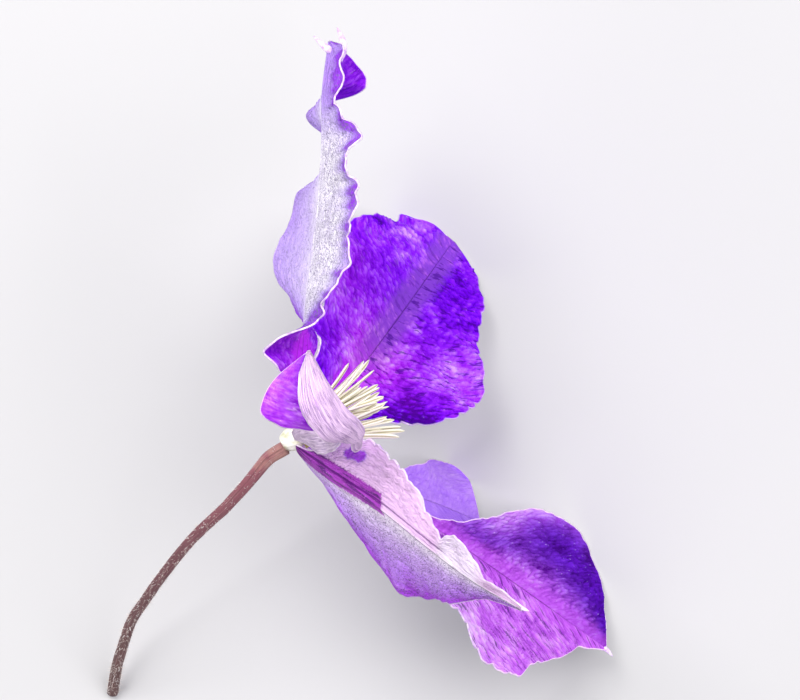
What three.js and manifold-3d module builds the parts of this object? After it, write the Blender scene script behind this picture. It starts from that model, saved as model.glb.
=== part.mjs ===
// A large-flowered clematis bloom with its cut stalk, lying on its side on three low points.
// Units are millimetres and +Z is up. The receptacle, where every tepal starts, is the point
// each shape below is measured from; the whole bloom is lifted onto the ground at the end.
import * as THREE from "three";
import { mergeVertices } from "three/addons/utils/BufferGeometryUtils.js";
import Module from "manifold-3d";

// ---- driving dimensions -------------------------------------------------------------------
const FACING = 25;              // degrees that the bloom's axis turns from +X towards +Y
const BLADE = 0.6;              // thickness of a tepal
const COLUMNS = 6;              // quads across each half of a tepal
const REST_DROP = 42.5;         // how far the ground lies below the receptacle
const CENTRE = [9.52, 8.951];   // the middle of the bloom's outline, seen from above

const STALK_TOP = 1.05;         // radii of the stalk: under the bloom, halfway and at the cut
const STALK_WAIST = 0.82;
const STALK_CUT = 0.92;

const STAMEN_RINGS = [          // one ring of stamens each: count, ring radius, lean, length
  { count: 12, radius: 1.0, lean: 5, length: 12.8 },
  { count: 15, radius: 1.45, lean: 12, length: 13.4 },
  { count: 18, radius: 1.9, lean: 19, length: 13.8 },
];
const STAMEN_HALF = 0.36;       // half width of a filament at its middle
const STYLES = 7;               // styles in the pistil, with one more at its centre
const SEED = 20177;

const turn = (degrees) => (degrees * Math.PI) / 180;
const AXIS = new THREE.Vector3(Math.cos(turn(FACING)), Math.sin(turn(FACING)), 0);
const UPWARD = new THREE.Vector3(-Math.sin(turn(FACING)), Math.cos(turn(FACING)), 0);
const FAR = new THREE.Vector3(0, 0, -1);

// Each tepal follows a spine from its claw to its tip. roll turns the blade about the spine.
// Each half has widths, the fold at the spine, a curl spread over its width and a wavy margin,
// as [position along the spine, value] pairs. The inner face looks along the bloom's axis.
const TEPALS = {
  tepal_upper: {
    colour: 0xd9c8f2, rows: 30, sag: 0,
    spine: [[0.3, 2.6, 1.0], [1.6, 10, 2.5], [2.6, 20, 3.5], [4.0, 32, 3.5], [4.9, 43, 2.5],
      [5.0, 52, 1.5], [5.9, 59.8, 0]],
    roll: [[0, -30], [0.12, -40], [0.18, -42], [0.28, 6], [0.4, 19], [0.75, 18], [1, 5]],
    near: {
      width: [[0, 0.9], [0.06, 2.2], [0.12, 4.6], [0.2, 8.4], [0.3, 12], [0.4, 15.9],
        [0.55, 16.4], [0.62, 14.8], [0.7, 12.3], [0.8, 8], [0.87, 5.6], [0.93, 5.2], [1, 0.3]],
      fold: [[0, 0], [0.3, -4], [0.45, -1], [0.62, 3], [0.82, 6], [0.9, 22], [0.96, 36], [1, 36]],
      curl: [[0, 4]],
      wave: [0.9, 7, 0.15],
    },
    away: {
      width: [[0, 0.9], [0.06, 1.4], [0.12, 2.2], [0.2, 4.4], [0.28, 11.5], [0.4, 16],
        [0.58, 16.5], [0.68, 13], [0.82, 9], [0.86, 7.4], [0.93, 7.2], [1, 0.3]],
      fold: [[0, 0], [0.55, 2], [0.63, 4], [0.68, 22], [0.76, 22], [0.83, -8], [0.87, 10],
        [0.91, 55], [0.96, 60], [1, 60]],
      curl: [[0, -8], [0.6, -6], [0.82, 0], [0.9, 25], [0.96, 0], [1, 0]], wave: [0.5, 4, 0],
    },
  },
  tepal_far_upper: {
    colour: 0x5c16d8, rows: 20, sag: 0.226,
    spine: [[0.9, 1.6, -2.3], [6.6, 5.8, -10.5], [13, 14.3, -21], [19.3, 23, -31], [25, 31, -42]],
    roll: [[0, 0], [0.4, -25], [1, -30]],
    near: {
      width: [[0, 0.9], [0.06, 1.6], [0.14, 3.6], [0.25, 7.4], [0.4, 10.2], [0.55, 13.2],
        [0.66, 15.2], [0.78, 15], [0.86, 13.2], [0.915, 11.6], [0.96, 9.6], [1, 0.4]],
      fold: [[0, 8], [1, -5]], curl: [[0, 10], [1, -10]], wave: [0.7, 5, 0],
    },
    away: {
      width: [[0, 0.9], [0.06, 1.4], [0.14, 3], [0.22, 6], [0.3, 10.3], [0.4, 15.2], [0.5, 17.4],
        [0.59, 18.1], [0.66, 15.3], [0.75, 12.4], [0.88, 9.2], [0.96, 6.6], [1, 0.4]],
      fold: [[0, 8], [1, 0]], curl: [[0, 10], [1, 0]], wave: [0.7, 5, 0],
    },
  },
  tepal_lower: {
    colour: 0x7a3ae0, rows: 20, sag: 3.268,
    spine: [[2.2, -1.8, -0.8], [11.5, -7.4, -8.3], [22.7, -14.6, -17.3], [35.2, -23.6, -26],
      [49.2, -34, -32.5]],
    roll: [[0, 5], [0.4, 32], [1, 36]],
    near: {
      width: [[0, 0.9], [0.06, 1.1], [0.15, 1.4], [0.4, 1.6], [0.5, 3.8], [0.58, 7.6], [0.65, 12],
        [0.72, 15.4], [0.79, 17], [0.87, 15.2], [0.93, 12], [0.97, 6.5], [1, 0.4]],
      fold: [[0, 5], [1, 0]], curl: [[0, 0]], wave: [0.5, 4, 0],
    },
    away: {
      width: [[0, 0.9], [0.06, 1.6], [0.15, 4], [0.3, 8.2], [0.5, 10.6], [0.58, 13], [0.65, 16],
        [0.74, 16.2], [0.8, 12.8], [0.86, 8.8], [0.92, 3.8], [0.97, 1.4], [1, 0.4]],
      fold: [[0, 5], [1, 0]], curl: [[0, 0]], wave: [0.5, 4, 0],
    },
  },
  tepal_far_lower: {
    colour: 0x9a78f0, rows: 20, sag: -1.235,
    spine: [[1.7, -0.6, -2.5], [10, -4.9, -13.5], [17.3, -8.6, -24.2], [23.8, -11.4, -32.5],
      [29.3, -14, -38]],
    roll: [[0, -10], [1, 8]],
    near: {
      width: [[0, 0.9], [0.06, 1.3], [0.2, 1.8], [0.45, 2.8], [0.6, 4.9], [0.75, 7.2],
        [0.86, 10.4], [0.93, 11.8], [0.985, 7], [1, 0.4]],
      fold: [[0, 0]], curl: [[0, 0]], wave: [0.5, 3, 0],
    },
    away: {
      width: [[0, 0.9], [0.06, 1], [0.2, 1.3], [0.4, 2.6], [0.6, 5], [0.75, 6.4], [0.88, 6],
        [0.96, 4], [1, 0.4]],
      fold: [[0, 0]], curl: [[0, 0]], wave: [0.5, 3, 0],
    },
  },
  tepal_near_lower: {
    colour: 0xe3c4ee, rows: 20, sag: 0,
    spine: [[1.5, -1.8, 1.7], [6.6, -5.2, 8.5], [13.7, -9.6, 15.5], [21, -15.2, 22],
      [27, -19.4, 27.5], [33.8, -23.2, 32.5]],
    roll: [[0, -10], [1, -10]],
    near: {
      width: [[0, 0.9], [0.06, 2.7], [0.14, 4.5], [0.2, 6.8], [0.26, 11.4], [0.33, 16.2],
        [0.44, 17.9], [0.52, 16.8], [0.6, 13.5], [0.7, 9], [0.8, 5], [0.88, 2.2], [1, 0.4]],
      fold: [[0, 0]], curl: [[0, 0]], wave: [0.5, 4, 0],
    },
    away: {
      width: [[0, 0.9], [0.06, 1.6], [0.13, 3.6], [0.22, 6.4], [0.3, 8.2], [0.42, 8.1],
        [0.5, 6.9], [0.58, 4.2], [0.64, 3.2], [0.72, 4], [0.79, 3], [0.86, 1.5], [1, 0.4]],
      fold: [[0, 10], [0.25, 30], [0.6, 30], [1, 20]], curl: [[0, 0]], wave: [0.4, 4, 0],
    },
  },
  tepal_near_upper: {
    colour: 0xb06af0, rows: 24, sag: 0,
    spine: [[0.9, 0.9, 2.7], [3.8, 1.3, 10], [7.9, 1.3, 18], [11, 1.4, 25.4], [10.8, 3, 30],
      [8.5, 5.5, 32.8], [6, 9.2, 34], [3.6, 13.4, 33.6]],
    roll: [[0, 0], [0.25, -10], [0.4, -50], [0.55, -130], [0.65, -125], [0.8, -105], [1, -90]],
    near: {
      width: [[0, 0.9], [0.06, 1.7], [0.16, 3.3], [0.3, 2.8], [0.42, 1.8], [0.58, 2], [0.7, 4.4],
        [0.78, 7.2], [0.85, 9.8], [0.9, 10.4], [0.94, 9], [0.98, 5.5], [1, 0.3]],
      fold: [[0, 0]], curl: [[0, 0]], wave: [0.3, 3, 0],
    },
    away: {
      width: [[0, 0.9], [0.06, 1.6], [0.16, 2.4], [0.3, 1.9], [0.42, 1.3], [0.5, 2.1], [0.6, 3.6],
        [0.68, 4.6], [0.76, 6.2], [0.82, 7], [0.88, 6.2], [0.94, 3.8], [1, 0.3]],
      fold: [[0, 0], [0.35, 0], [0.55, 60], [0.65, 85], [1, 95]],
      curl: [[0, 0], [0.35, 20], [0.5, 50], [0.65, 105], [1, 90]], wave: [0.3, 4, 0],
    },
  },
};

const STALK_LINE = [[-1.3, -1.5, 0], [-3.4, -2.9, -0.8], [-5.9, -5.9, -2.6], [-10, -10.4, -6.2],
  [-13.8, -13.9, -10], [-16.7, -17, -14], [-20.4, -21.6, -19], [-23.3, -25.6, -24],
  [-25.6, -28.9, -28.5], [-27.3, -33.2, -33], [-28.6, -37, -37], [-29.6, -41.4, -41.884]];

// ---- curves -------------------------------------------------------------------------------
// A monotone cubic through [position, value] pairs.
function along(keys, u) {
  if (keys.length === 1) return keys[0][1];
  const last = keys.length - 1;
  const step = keys.slice(1).map((key, i) => key[0] - keys[i][0]);
  const slope = keys.slice(1).map((key, i) => (key[1] - keys[i][1]) / step[i]);
  const tangent = keys.map((_, i) => {
    if (i === 0) return slope[0];
    if (i === last) return slope[last - 1];
    const [a, b] = [slope[i - 1], slope[i]];
    return a * b <= 0 ? 0 : (2 * a * b) / (a + b);
  });
  const x = Math.min(Math.max(u, keys[0][0]), keys[last][0]);
  let i = 0;
  while (i < last - 1 && x >= keys[i + 1][0]) i += 1;
  const t = (x - keys[i][0]) / step[i];
  return (2 * t ** 3 - 3 * t ** 2 + 1) * keys[i][1]
    + (t ** 3 - 2 * t ** 2 + t) * step[i] * tangent[i]
    + (3 * t ** 2 - 2 * t ** 3) * keys[i + 1][1] + (t ** 3 - t ** 2) * step[i] * tangent[i + 1];
}

// A Catmull-Rom curve through evenly spaced points, with reflected ends; q runs from 0 to 1.
function spline(points, q) {
  const last = points.length - 1;
  const at = (i, axis) => {
    if (i < 0) return 2 * points[0][axis] - points[1][axis];
    if (i > last) return 2 * points[last][axis] - points[last - 1][axis];
    return points[i][axis];
  };
  const s = Math.min(Math.max(q, 0), 1) * last;
  const i = Math.min(Math.floor(s), last - 1);
  const f = s - i;
  const blend = [0, 1, 2].map((axis) => {
    const [a, b, c, d] = [at(i - 1, axis), at(i, axis), at(i + 1, axis), at(i + 2, axis)];
    return 0.5 * (2 * b + (c - a) * f + (2 * a - 5 * b + 4 * c - d) * f * f
      + (3 * b - a - 3 * c + d) * f ** 3);
  });
  return new THREE.Vector3(...blend);
}

// The curve's parameter at evenly spaced shares of its length.
function evenly(points, count) {
  const fine = 400;
  const length = [0];
  let before = spline(points, 0);
  for (let k = 1; k <= fine; k += 1) {
    const here = spline(points, k / fine);
    length.push(length[k - 1] + here.distanceTo(before));
    before = here;
  }
  const spots = [];
  for (let row = 0, k = 0; row <= count; row += 1) {
    const target = (row / count) * length[fine];
    while (k < fine - 1 && length[k + 1] < target) k += 1;
    spots.push((k + (target - length[k]) / (length[k + 1] - length[k])) / fine);
  }
  return spots;
}

// ---- tepals -------------------------------------------------------------------------------
// The middle surface of a tepal as rows of points, from the away margin to the near margin.
function middleSurface(tepal) {
  const spots = evenly(tepal.spine, tepal.rows);
  return spots.map((q, row) => {
    const u = row / tepal.rows;
    const point = spline(tepal.spine, q);
    point.z -= tepal.sag * u * u;
    const ahead = spline(tepal.spine, Math.min(q + 0.01, 1));
    const forward = ahead.sub(spline(tepal.spine, Math.max(q - 0.01, 0))).normalize();
    const level = AXIS.clone().cross(forward).normalize();
    const inward = forward.clone().cross(level);
    const roll = turn(along(tepal.roll, u));
    const across = level.clone().multiplyScalar(Math.cos(roll))
      .addScaledVector(inward, Math.sin(roll));
    const face = level.clone().multiplyScalar(-Math.sin(roll))
      .addScaledVector(inward, Math.cos(roll));
    const points = [];
    for (let column = -COLUMNS; column <= COLUMNS; column += 1) {
      const half = column < 0 ? tepal.away : tepal.near;
      const side = Math.sign(column);
      const v = Math.abs(column) / COLUMNS;
      const width = along(half.width, u);
      const fold = turn(along(half.fold, u));
      let curl = turn(along(half.curl, u));
      if (Math.abs(curl) < 1e-3) curl = 1e-3;
      const [height, waves, phase] = half.wave;
      const wave = height * Math.sin(2 * Math.PI * (waves * u + phase)) * Math.min(width / 8, 1)
        * v ** 2.5;
      const angle = fold + curl * v;
      const out = (width / curl) * (Math.sin(angle) - Math.sin(fold)) - Math.sin(angle) * wave;
      const lift = (width / curl) * (Math.cos(fold) - Math.cos(angle)) + Math.cos(angle) * wave;
      points.push(point.clone().addScaledVector(across, side * out).addScaledVector(face, lift));
    }
    return points;
  });
}

// Both faces of a blade split alike, with a band round the margin.
function blade(tepal) {
  const rows = middleSurface(tepal);
  const [height, width] = [rows.length, rows[0].length];
  const flat = rows.flat();
  const index = (row, column) => row * width + column;
  const faces = [];
  for (let row = 0; row < height - 1; row += 1) {
    for (let column = 0; column < width - 1; column += 1) {
      const [a, b] = [index(row, column), index(row + 1, column)];
      const [c, d] = [index(row + 1, column + 1), index(row, column + 1)];
      if (column < COLUMNS) faces.push([a, b, c], [a, c, d]);
      else faces.push([a, b, d], [b, c, d]);
    }
  }
  const normals = flat.map(() => new THREE.Vector3());
  faces.forEach(([a, b, c]) => {
    const normal = flat[b].clone().sub(flat[a]).cross(flat[c].clone().sub(flat[a]));
    [a, b, c].forEach((i) => normals[i].add(normal));
  });
  normals.forEach((normal) => normal.normalize());
  const count = flat.length;
  const positions = [];
  for (const side of [1, -1]) {
    flat.forEach((p, i) => {
      const q = p.clone().addScaledVector(normals[i], (side * BLADE) / 2);
      positions.push(q.x, q.y, q.z);
    });
  }
  const indices = [];
  faces.forEach(([a, b, c]) => indices.push(a, b, c, a + count, c + count, b + count));
  const rim = [];
  for (let row = 0; row < height; row += 1) rim.push(index(row, 0));
  for (let column = 1; column < width; column += 1) rim.push(index(height - 1, column));
  for (let row = height - 2; row >= 0; row -= 1) rim.push(index(row, width - 1));
  for (let column = width - 2; column > 0; column -= 1) rim.push(index(0, column));
  rim.forEach((a, i) => {
    const b = rim[(i + 1) % rim.length];
    indices.push(a, a + count, b + count, a, b + count, b);
  });
  const geometry = new THREE.BufferGeometry();
  geometry.setAttribute("position", new THREE.Float32BufferAttribute(positions, 3));
  geometry.setIndex(indices);
  return geometry;
}

// ---- round pieces ---------------------------------------------------------------------------
// A closed rod through points, with a radius for each ring and an optional flattening.
function rod(points, radii, sides, flatten = 1, twist = 0) {
  const positions = [];
  const rings = points.length;
  let level = null;
  points.forEach((p, i) => {
    const forward = points[Math.min(i + 1, rings - 1)].clone()
      .sub(points[Math.max(i - 1, 0)]).normalize();
    if (level === null) {
      level = (Math.abs(forward.z) < 0.9 ? FAR : UPWARD).clone();
    }
    level = level.clone().addScaledVector(forward, -level.dot(forward)).normalize();
    const other = forward.clone().cross(level);
    for (let k = 0; k < sides; k += 1) {
      const angle = twist + (2 * Math.PI * k) / sides;
      const q = p.clone().addScaledVector(level, radii[i] * Math.cos(angle))
        .addScaledVector(other, radii[i] * flatten * Math.sin(angle));
      positions.push(q.x, q.y, q.z);
    }
  });
  const first = positions.length / 3;
  positions.push(...points[0].toArray(), ...points[rings - 1].toArray());
  const indices = [];
  for (let ring = 0; ring < rings - 1; ring += 1) {
    for (let k = 0; k < sides; k += 1) {
      const [a, b] = [ring * sides + k, ring * sides + ((k + 1) % sides)];
      indices.push(a, b, b + sides, a, b + sides, a + sides);
    }
  }
  for (let k = 0; k < sides; k += 1) {
    const next = (k + 1) % sides;
    indices.push(first, next, k);
    const top = (rings - 1) * sides;
    indices.push(first + 1, top + k, top + next);
  }
  const geometry = new THREE.BufferGeometry();
  geometry.setAttribute("position", new THREE.Float32BufferAttribute(positions, 3));
  geometry.setIndex(indices);
  return geometry;
}

function stalk() {
  const rings = 20;
  const points = evenly(STALK_LINE, rings).map((q) => spline(STALK_LINE, q));
  const radii = points.map((_, i) => along([[0, STALK_TOP], [0.12, STALK_TOP * 0.9],
    [0.45, STALK_WAIST], [0.8, STALK_WAIST * 1.04], [1, STALK_CUT]], i / rings));
  return rod(points, radii, 10);
}

// The knob that the stalk swells into; its profile turns about the bloom's axis.
function receptacle() {
  const profile = [[0, -1.3], [0.95, -1.15], [1.45, -0.5], [1.75, 0.3], [1.7, 1.0], [1.5, 1.6],
    [1.3, 1.95], [0, 2.0]].map(([r, s]) => new THREE.Vector2(r, s));
  const geometry = new THREE.LatheGeometry(profile, 14);
  const stand = new THREE.Quaternion().setFromUnitVectors(new THREE.Vector3(0, 1, 0), AXIS);
  return geometry.applyQuaternion(stand);
}

// ---- stamens and pistil -----------------------------------------------------------------------
function random(seed) {
  let state = seed;
  return () => {
    state = (state * 16807) % 2147483647;
    return state / 2147483647;
  };
}

// The points of a thread that leaves the bloom's axis at an angle and bends a little.
function thread(angle, radius, foot, lean, length, bow) {
  const outward = UPWARD.clone().multiplyScalar(Math.cos(angle))
    .addScaledVector(FAR, Math.sin(angle));
  const sideways = AXIS.clone().cross(outward);
  const points = [];
  const steps = 4;
  for (let i = 0; i <= steps; i += 1) {
    const t = i / steps;
    const slope = turn(lean) * (0.55 + 0.45 * t);
    points.push(AXIS.clone().multiplyScalar(foot + length * t * Math.cos(slope))
      .addScaledVector(outward, radius + length * t * Math.sin(slope))
      .addScaledVector(sideways, bow * t * t * length));
  }
  return points;
}

const wasm = await Module();
wasm.setup();
function solid(geometry) {
  geometry.deleteAttribute("normal");
  geometry.deleteAttribute("uv");
  const merged = mergeVertices(geometry, 1e-4);
  return new wasm.Manifold(new wasm.Mesh({
    numProp: 3,
    vertProperties: new Float32Array(merged.attributes.position.array),
    triVerts: new Uint32Array(merged.index.array),
  }));
}

function fused(pieces) {
  const joined = pieces.map(solid).reduce((whole, piece) => whole.add(piece)).getMesh();
  const geometry = new THREE.BufferGeometry();
  geometry.setAttribute("position", new THREE.BufferAttribute(joined.vertProperties, 3));
  geometry.setIndex(new THREE.BufferAttribute(joined.triVerts, 1));
  return geometry;
}

function ring(inner, outer, from, to) {
  const profile = [[inner, from], [outer, from], [outer, to], [inner, to], [inner, from]]
    .map(([r, s]) => new THREE.Vector2(r, s));
  const geometry = new THREE.LatheGeometry(profile, 16);
  const stand = new THREE.Quaternion().setFromUnitVectors(new THREE.Vector3(0, 1, 0), AXIS);
  return geometry.applyQuaternion(stand);
}

function stamens() {
  const draw = random(SEED);
  const pieces = [ring(0.85, 1.95, 2.35, 3.0)];
  STAMEN_RINGS.forEach(({ count, radius, lean, length }) => {
    for (let i = 0; i < count; i += 1) {
      const angle = (2 * Math.PI * (i + 0.5 * (draw() - 0.5))) / count + radius;
      const points = thread(angle, radius, 2.55, lean + 7 * (draw() - 0.5),
        length * (0.76 + 0.28 * draw()), 0.24 * (draw() - 0.5));
      const radii = [1.05, 1, 1, 0.95, 0.6].map((share) => share * STAMEN_HALF);
      pieces.push(rod(points, radii, 4, 0.9, Math.PI / 4));
    }
  });
  return fused(pieces);
}

function pistil() {
  const core = [[0, 2.3], [0.42, 2.3], [0.45, 3.4], [0.3, 4.6], [0, 5.0]]
    .map(([r, s]) => new THREE.Vector2(r, s));
  const stand = new THREE.Quaternion().setFromUnitVectors(new THREE.Vector3(0, 1, 0), AXIS);
  const pieces = [new THREE.LatheGeometry(core, 10).applyQuaternion(stand)];
  for (let i = 0; i < STYLES; i += 1) {
    const points = thread((2 * Math.PI * i) / STYLES, 0.12, 3.2, 3, 7.4, 0.03);
    pieces.push(rod(points, [0.3, 0.3, 0.3, 0.28, 0.2], 4));
  }
  return fused(pieces);
}

// ---- the bloom --------------------------------------------------------------------------------
const bloom = new THREE.Group();
bloom.position.set(-CENTRE[0], -CENTRE[1], REST_DROP);

function add(name, geometry, colour, roughness = 0.6) {
  const material = new THREE.MeshStandardMaterial({ color: colour, roughness, metalness: 0 });
  const mesh = new THREE.Mesh(geometry, material);
  mesh.name = name;
  bloom.add(mesh);
}

for (const [name, tepal] of Object.entries(TEPALS)) add(name, blade(tepal), tepal.colour, 0.55);
add("stalk", stalk(), 0x8a5a50, 0.7);
add("receptacle", receptacle(), 0xe8e6cc, 0.6);
add("stamens", stamens(), 0xf3f0d2, 0.6);
add("pistil", pistil(), 0xe4e8b8, 0.6);

export default bloom;
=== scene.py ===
"""The looks of a large-flowered clematis bloom that lies on its side with its cut stalk.

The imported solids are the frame. Every tepal, the stamens, the pistil, the receptacle and the
stalk get a finer mesh on the same named curves, in millimetres from the receptacle, where the
tepals start. A tepal is a thin sheet with grooved main veins, a quilted blade and a ruffled,
finely toothed margin. Three of them end in pale horns.
"""

import logging
from collections.abc import Iterator
from dataclasses import dataclass, field
from enum import Enum
from functools import cache

import bpy
import numpy as np
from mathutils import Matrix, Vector


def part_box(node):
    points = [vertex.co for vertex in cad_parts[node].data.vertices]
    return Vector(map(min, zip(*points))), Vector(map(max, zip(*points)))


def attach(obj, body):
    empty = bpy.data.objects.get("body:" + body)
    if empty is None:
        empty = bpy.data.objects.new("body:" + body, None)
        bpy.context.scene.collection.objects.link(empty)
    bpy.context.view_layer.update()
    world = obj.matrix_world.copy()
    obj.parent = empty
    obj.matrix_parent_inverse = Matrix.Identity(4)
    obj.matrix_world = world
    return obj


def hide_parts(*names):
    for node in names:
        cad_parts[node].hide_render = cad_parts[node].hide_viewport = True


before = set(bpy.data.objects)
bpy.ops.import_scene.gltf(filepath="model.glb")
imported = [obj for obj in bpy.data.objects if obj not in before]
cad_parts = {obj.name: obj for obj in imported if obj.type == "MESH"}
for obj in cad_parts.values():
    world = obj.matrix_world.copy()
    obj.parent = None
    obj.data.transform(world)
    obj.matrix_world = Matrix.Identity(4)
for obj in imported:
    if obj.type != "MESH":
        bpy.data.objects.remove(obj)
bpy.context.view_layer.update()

LOG = logging.getLogger("clematis")

Keys = tuple[tuple[float, float], ...]
Points = tuple[tuple[float, float, float], ...]
Colour = tuple[float, float, float, float]

MM = 0.001
GROUND_GAP = 0.01  # mm that the stalk and its hairs keep above the ground
FACING = np.radians(25.0)  # how far the bloom's axis rises from +X towards +Y
AXIS = np.array([np.cos(FACING), np.sin(FACING), 0.0])
UPWARD = np.array([-np.sin(FACING), np.cos(FACING), 0.0])
FAR = np.array([0.0, 0.0, -1.0])  # down, towards the ground
KNOB_MIDDLE = np.array([0.4344, 0.2547, 0.0])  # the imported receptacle's middle, from the tepals' start
LEVEL: Keys = ((0.0, 0.0), (1.0, 0.0))  # nothing from end to end


def srgb(red: int, green: int, blue: int) -> Colour:
    """Turns a screen colour of 0 to 255 into the linear colour that a shader takes.

    Args:
        red: The red share.
        green: The green share.
        blue: The blue share.

    Returns:
        The linear colour with full alpha.
    """
    shares = [channel / 255 for channel in (red, green, blue)]
    linear = [s / 12.92 if s <= 0.04045 else ((s + 0.055) / 1.055) ** 2.4 for s in shares]
    return (*linear, 1.0)


# ---- curves and noise ----------------------------------------------------------------------


def keyed(keys: Keys, u: np.ndarray) -> np.ndarray:
    """Reads a monotone cubic through (position, value) pairs.

    Args:
        keys: The pairs, by rising position.
        u: The positions to read at.

    Returns:
        A value for each position.
    """
    x = np.array([key[0] for key in keys])
    y = np.array([key[1] for key in keys])
    if len(x) == 1:
        return np.full_like(u, y[0])
    step = np.diff(x)
    slope = np.diff(y) / step
    tangent = np.zeros_like(y)
    tangent[0], tangent[-1] = slope[0], slope[-1]
    same = slope[:-1] * slope[1:] > 0
    total = np.where(same, slope[:-1] + slope[1:], 1.0)
    tangent[1:-1] = np.where(same, 2 * slope[:-1] * slope[1:] / total, 0.0)
    u = np.clip(u, x[0], x[-1])
    i = np.clip(np.searchsorted(x, u, side="right") - 1, 0, len(x) - 2)
    t = (u - x[i]) / step[i]
    return (
        (2 * t**3 - 3 * t**2 + 1) * y[i]
        + (t**3 - 2 * t**2 + t) * step[i] * tangent[i]
        + (3 * t**2 - 2 * t**3) * y[i + 1]
        + (t**3 - t**2) * step[i] * tangent[i + 1]
    )


def spline(points: Points, q: np.ndarray) -> np.ndarray:
    """Reads a Catmull-Rom curve through evenly spaced points, with reflected ends.

    Args:
        points: The points of the curve.
        q: Positions from 0 to 1.

    Returns:
        One point for each position.
    """
    knots = np.array(points, float)
    knots = np.vstack([2 * knots[0] - knots[1], knots, 2 * knots[-1] - knots[-2]])
    last = len(points) - 1
    s = np.clip(q, 0, 1) * last
    i = np.minimum(s.astype(int), last - 1)
    f = (s - i)[:, None]
    a, b, c, d = (knots[i + k] for k in range(4))
    return 0.5 * (
        2 * b + (c - a) * f + (2 * a - 5 * b + 4 * c - d) * f**2 + (3 * b - a - 3 * c + d) * f**3
    )


def evenly(points: Points, u: np.ndarray) -> tuple[np.ndarray, float]:
    """Finds the curve's parameter at shares of its length.

    Args:
        points: The points of the curve.
        u: Shares of the length, from 0 to 1.

    Returns:
        The parameters, and the length of the curve.
    """
    fine = np.linspace(0, 1, 401)
    path = spline(points, fine)
    run = np.concatenate([[0], np.cumsum(np.linalg.norm(np.diff(path, axis=0), axis=1))])
    return np.interp(u * run[-1], run, fine), float(run[-1])


def hills(x: np.ndarray, y: np.ndarray, seed: int) -> np.ndarray:
    """Gives smooth random hills and hollows, about one to a unit.

    Args:
        x: First coordinate.
        y: Second coordinate.
        seed: Which hills to draw.

    Returns:
        Heights of about -1 to 1.
    """
    size = 128
    turns = np.random.default_rng(seed).random((size, size)) * 2 * np.pi
    column, row = np.floor(x).astype(int), np.floor(y).astype(int)
    fx, fy = x - column, y - row
    sx, sy = (f**3 * (f * (f * 6 - 15) + 10) for f in (fx, fy))

    def corner(i: int, j: int) -> np.ndarray:
        """The slope of one corner of the unit square, at each point."""
        angle = turns[(column + i) % size, (row + j) % size]
        return np.cos(angle) * (fx - i) + np.sin(angle) * (fy - j)

    low = corner(0, 0) * (1 - sx) + corner(1, 0) * sx
    high = corner(0, 1) * (1 - sx) + corner(1, 1) * sx
    return 1.45 * (low * (1 - sy) + high * sy)


def wander(run: np.ndarray, size: float, row: float, seed: int) -> np.ndarray:
    """Reads one row of hills along a line, each about one size long."""
    return hills(run / size, np.full_like(run, row), seed)


def ease(value: np.ndarray, low: float, high: float) -> np.ndarray:
    """Rises smoothly from 0 at low to 1 at high."""
    t = np.clip((value - low) / (high - low), 0, 1)
    return t * t * (3 - 2 * t)


def unit(vectors: np.ndarray) -> np.ndarray:
    """Scales each vector to length 1."""
    return vectors / np.maximum(np.linalg.norm(vectors, axis=-1, keepdims=True), 1e-12)


# ---- node trees ----------------------------------------------------------------------------

Value = float | tuple | bpy.types.NodeSocket


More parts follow.
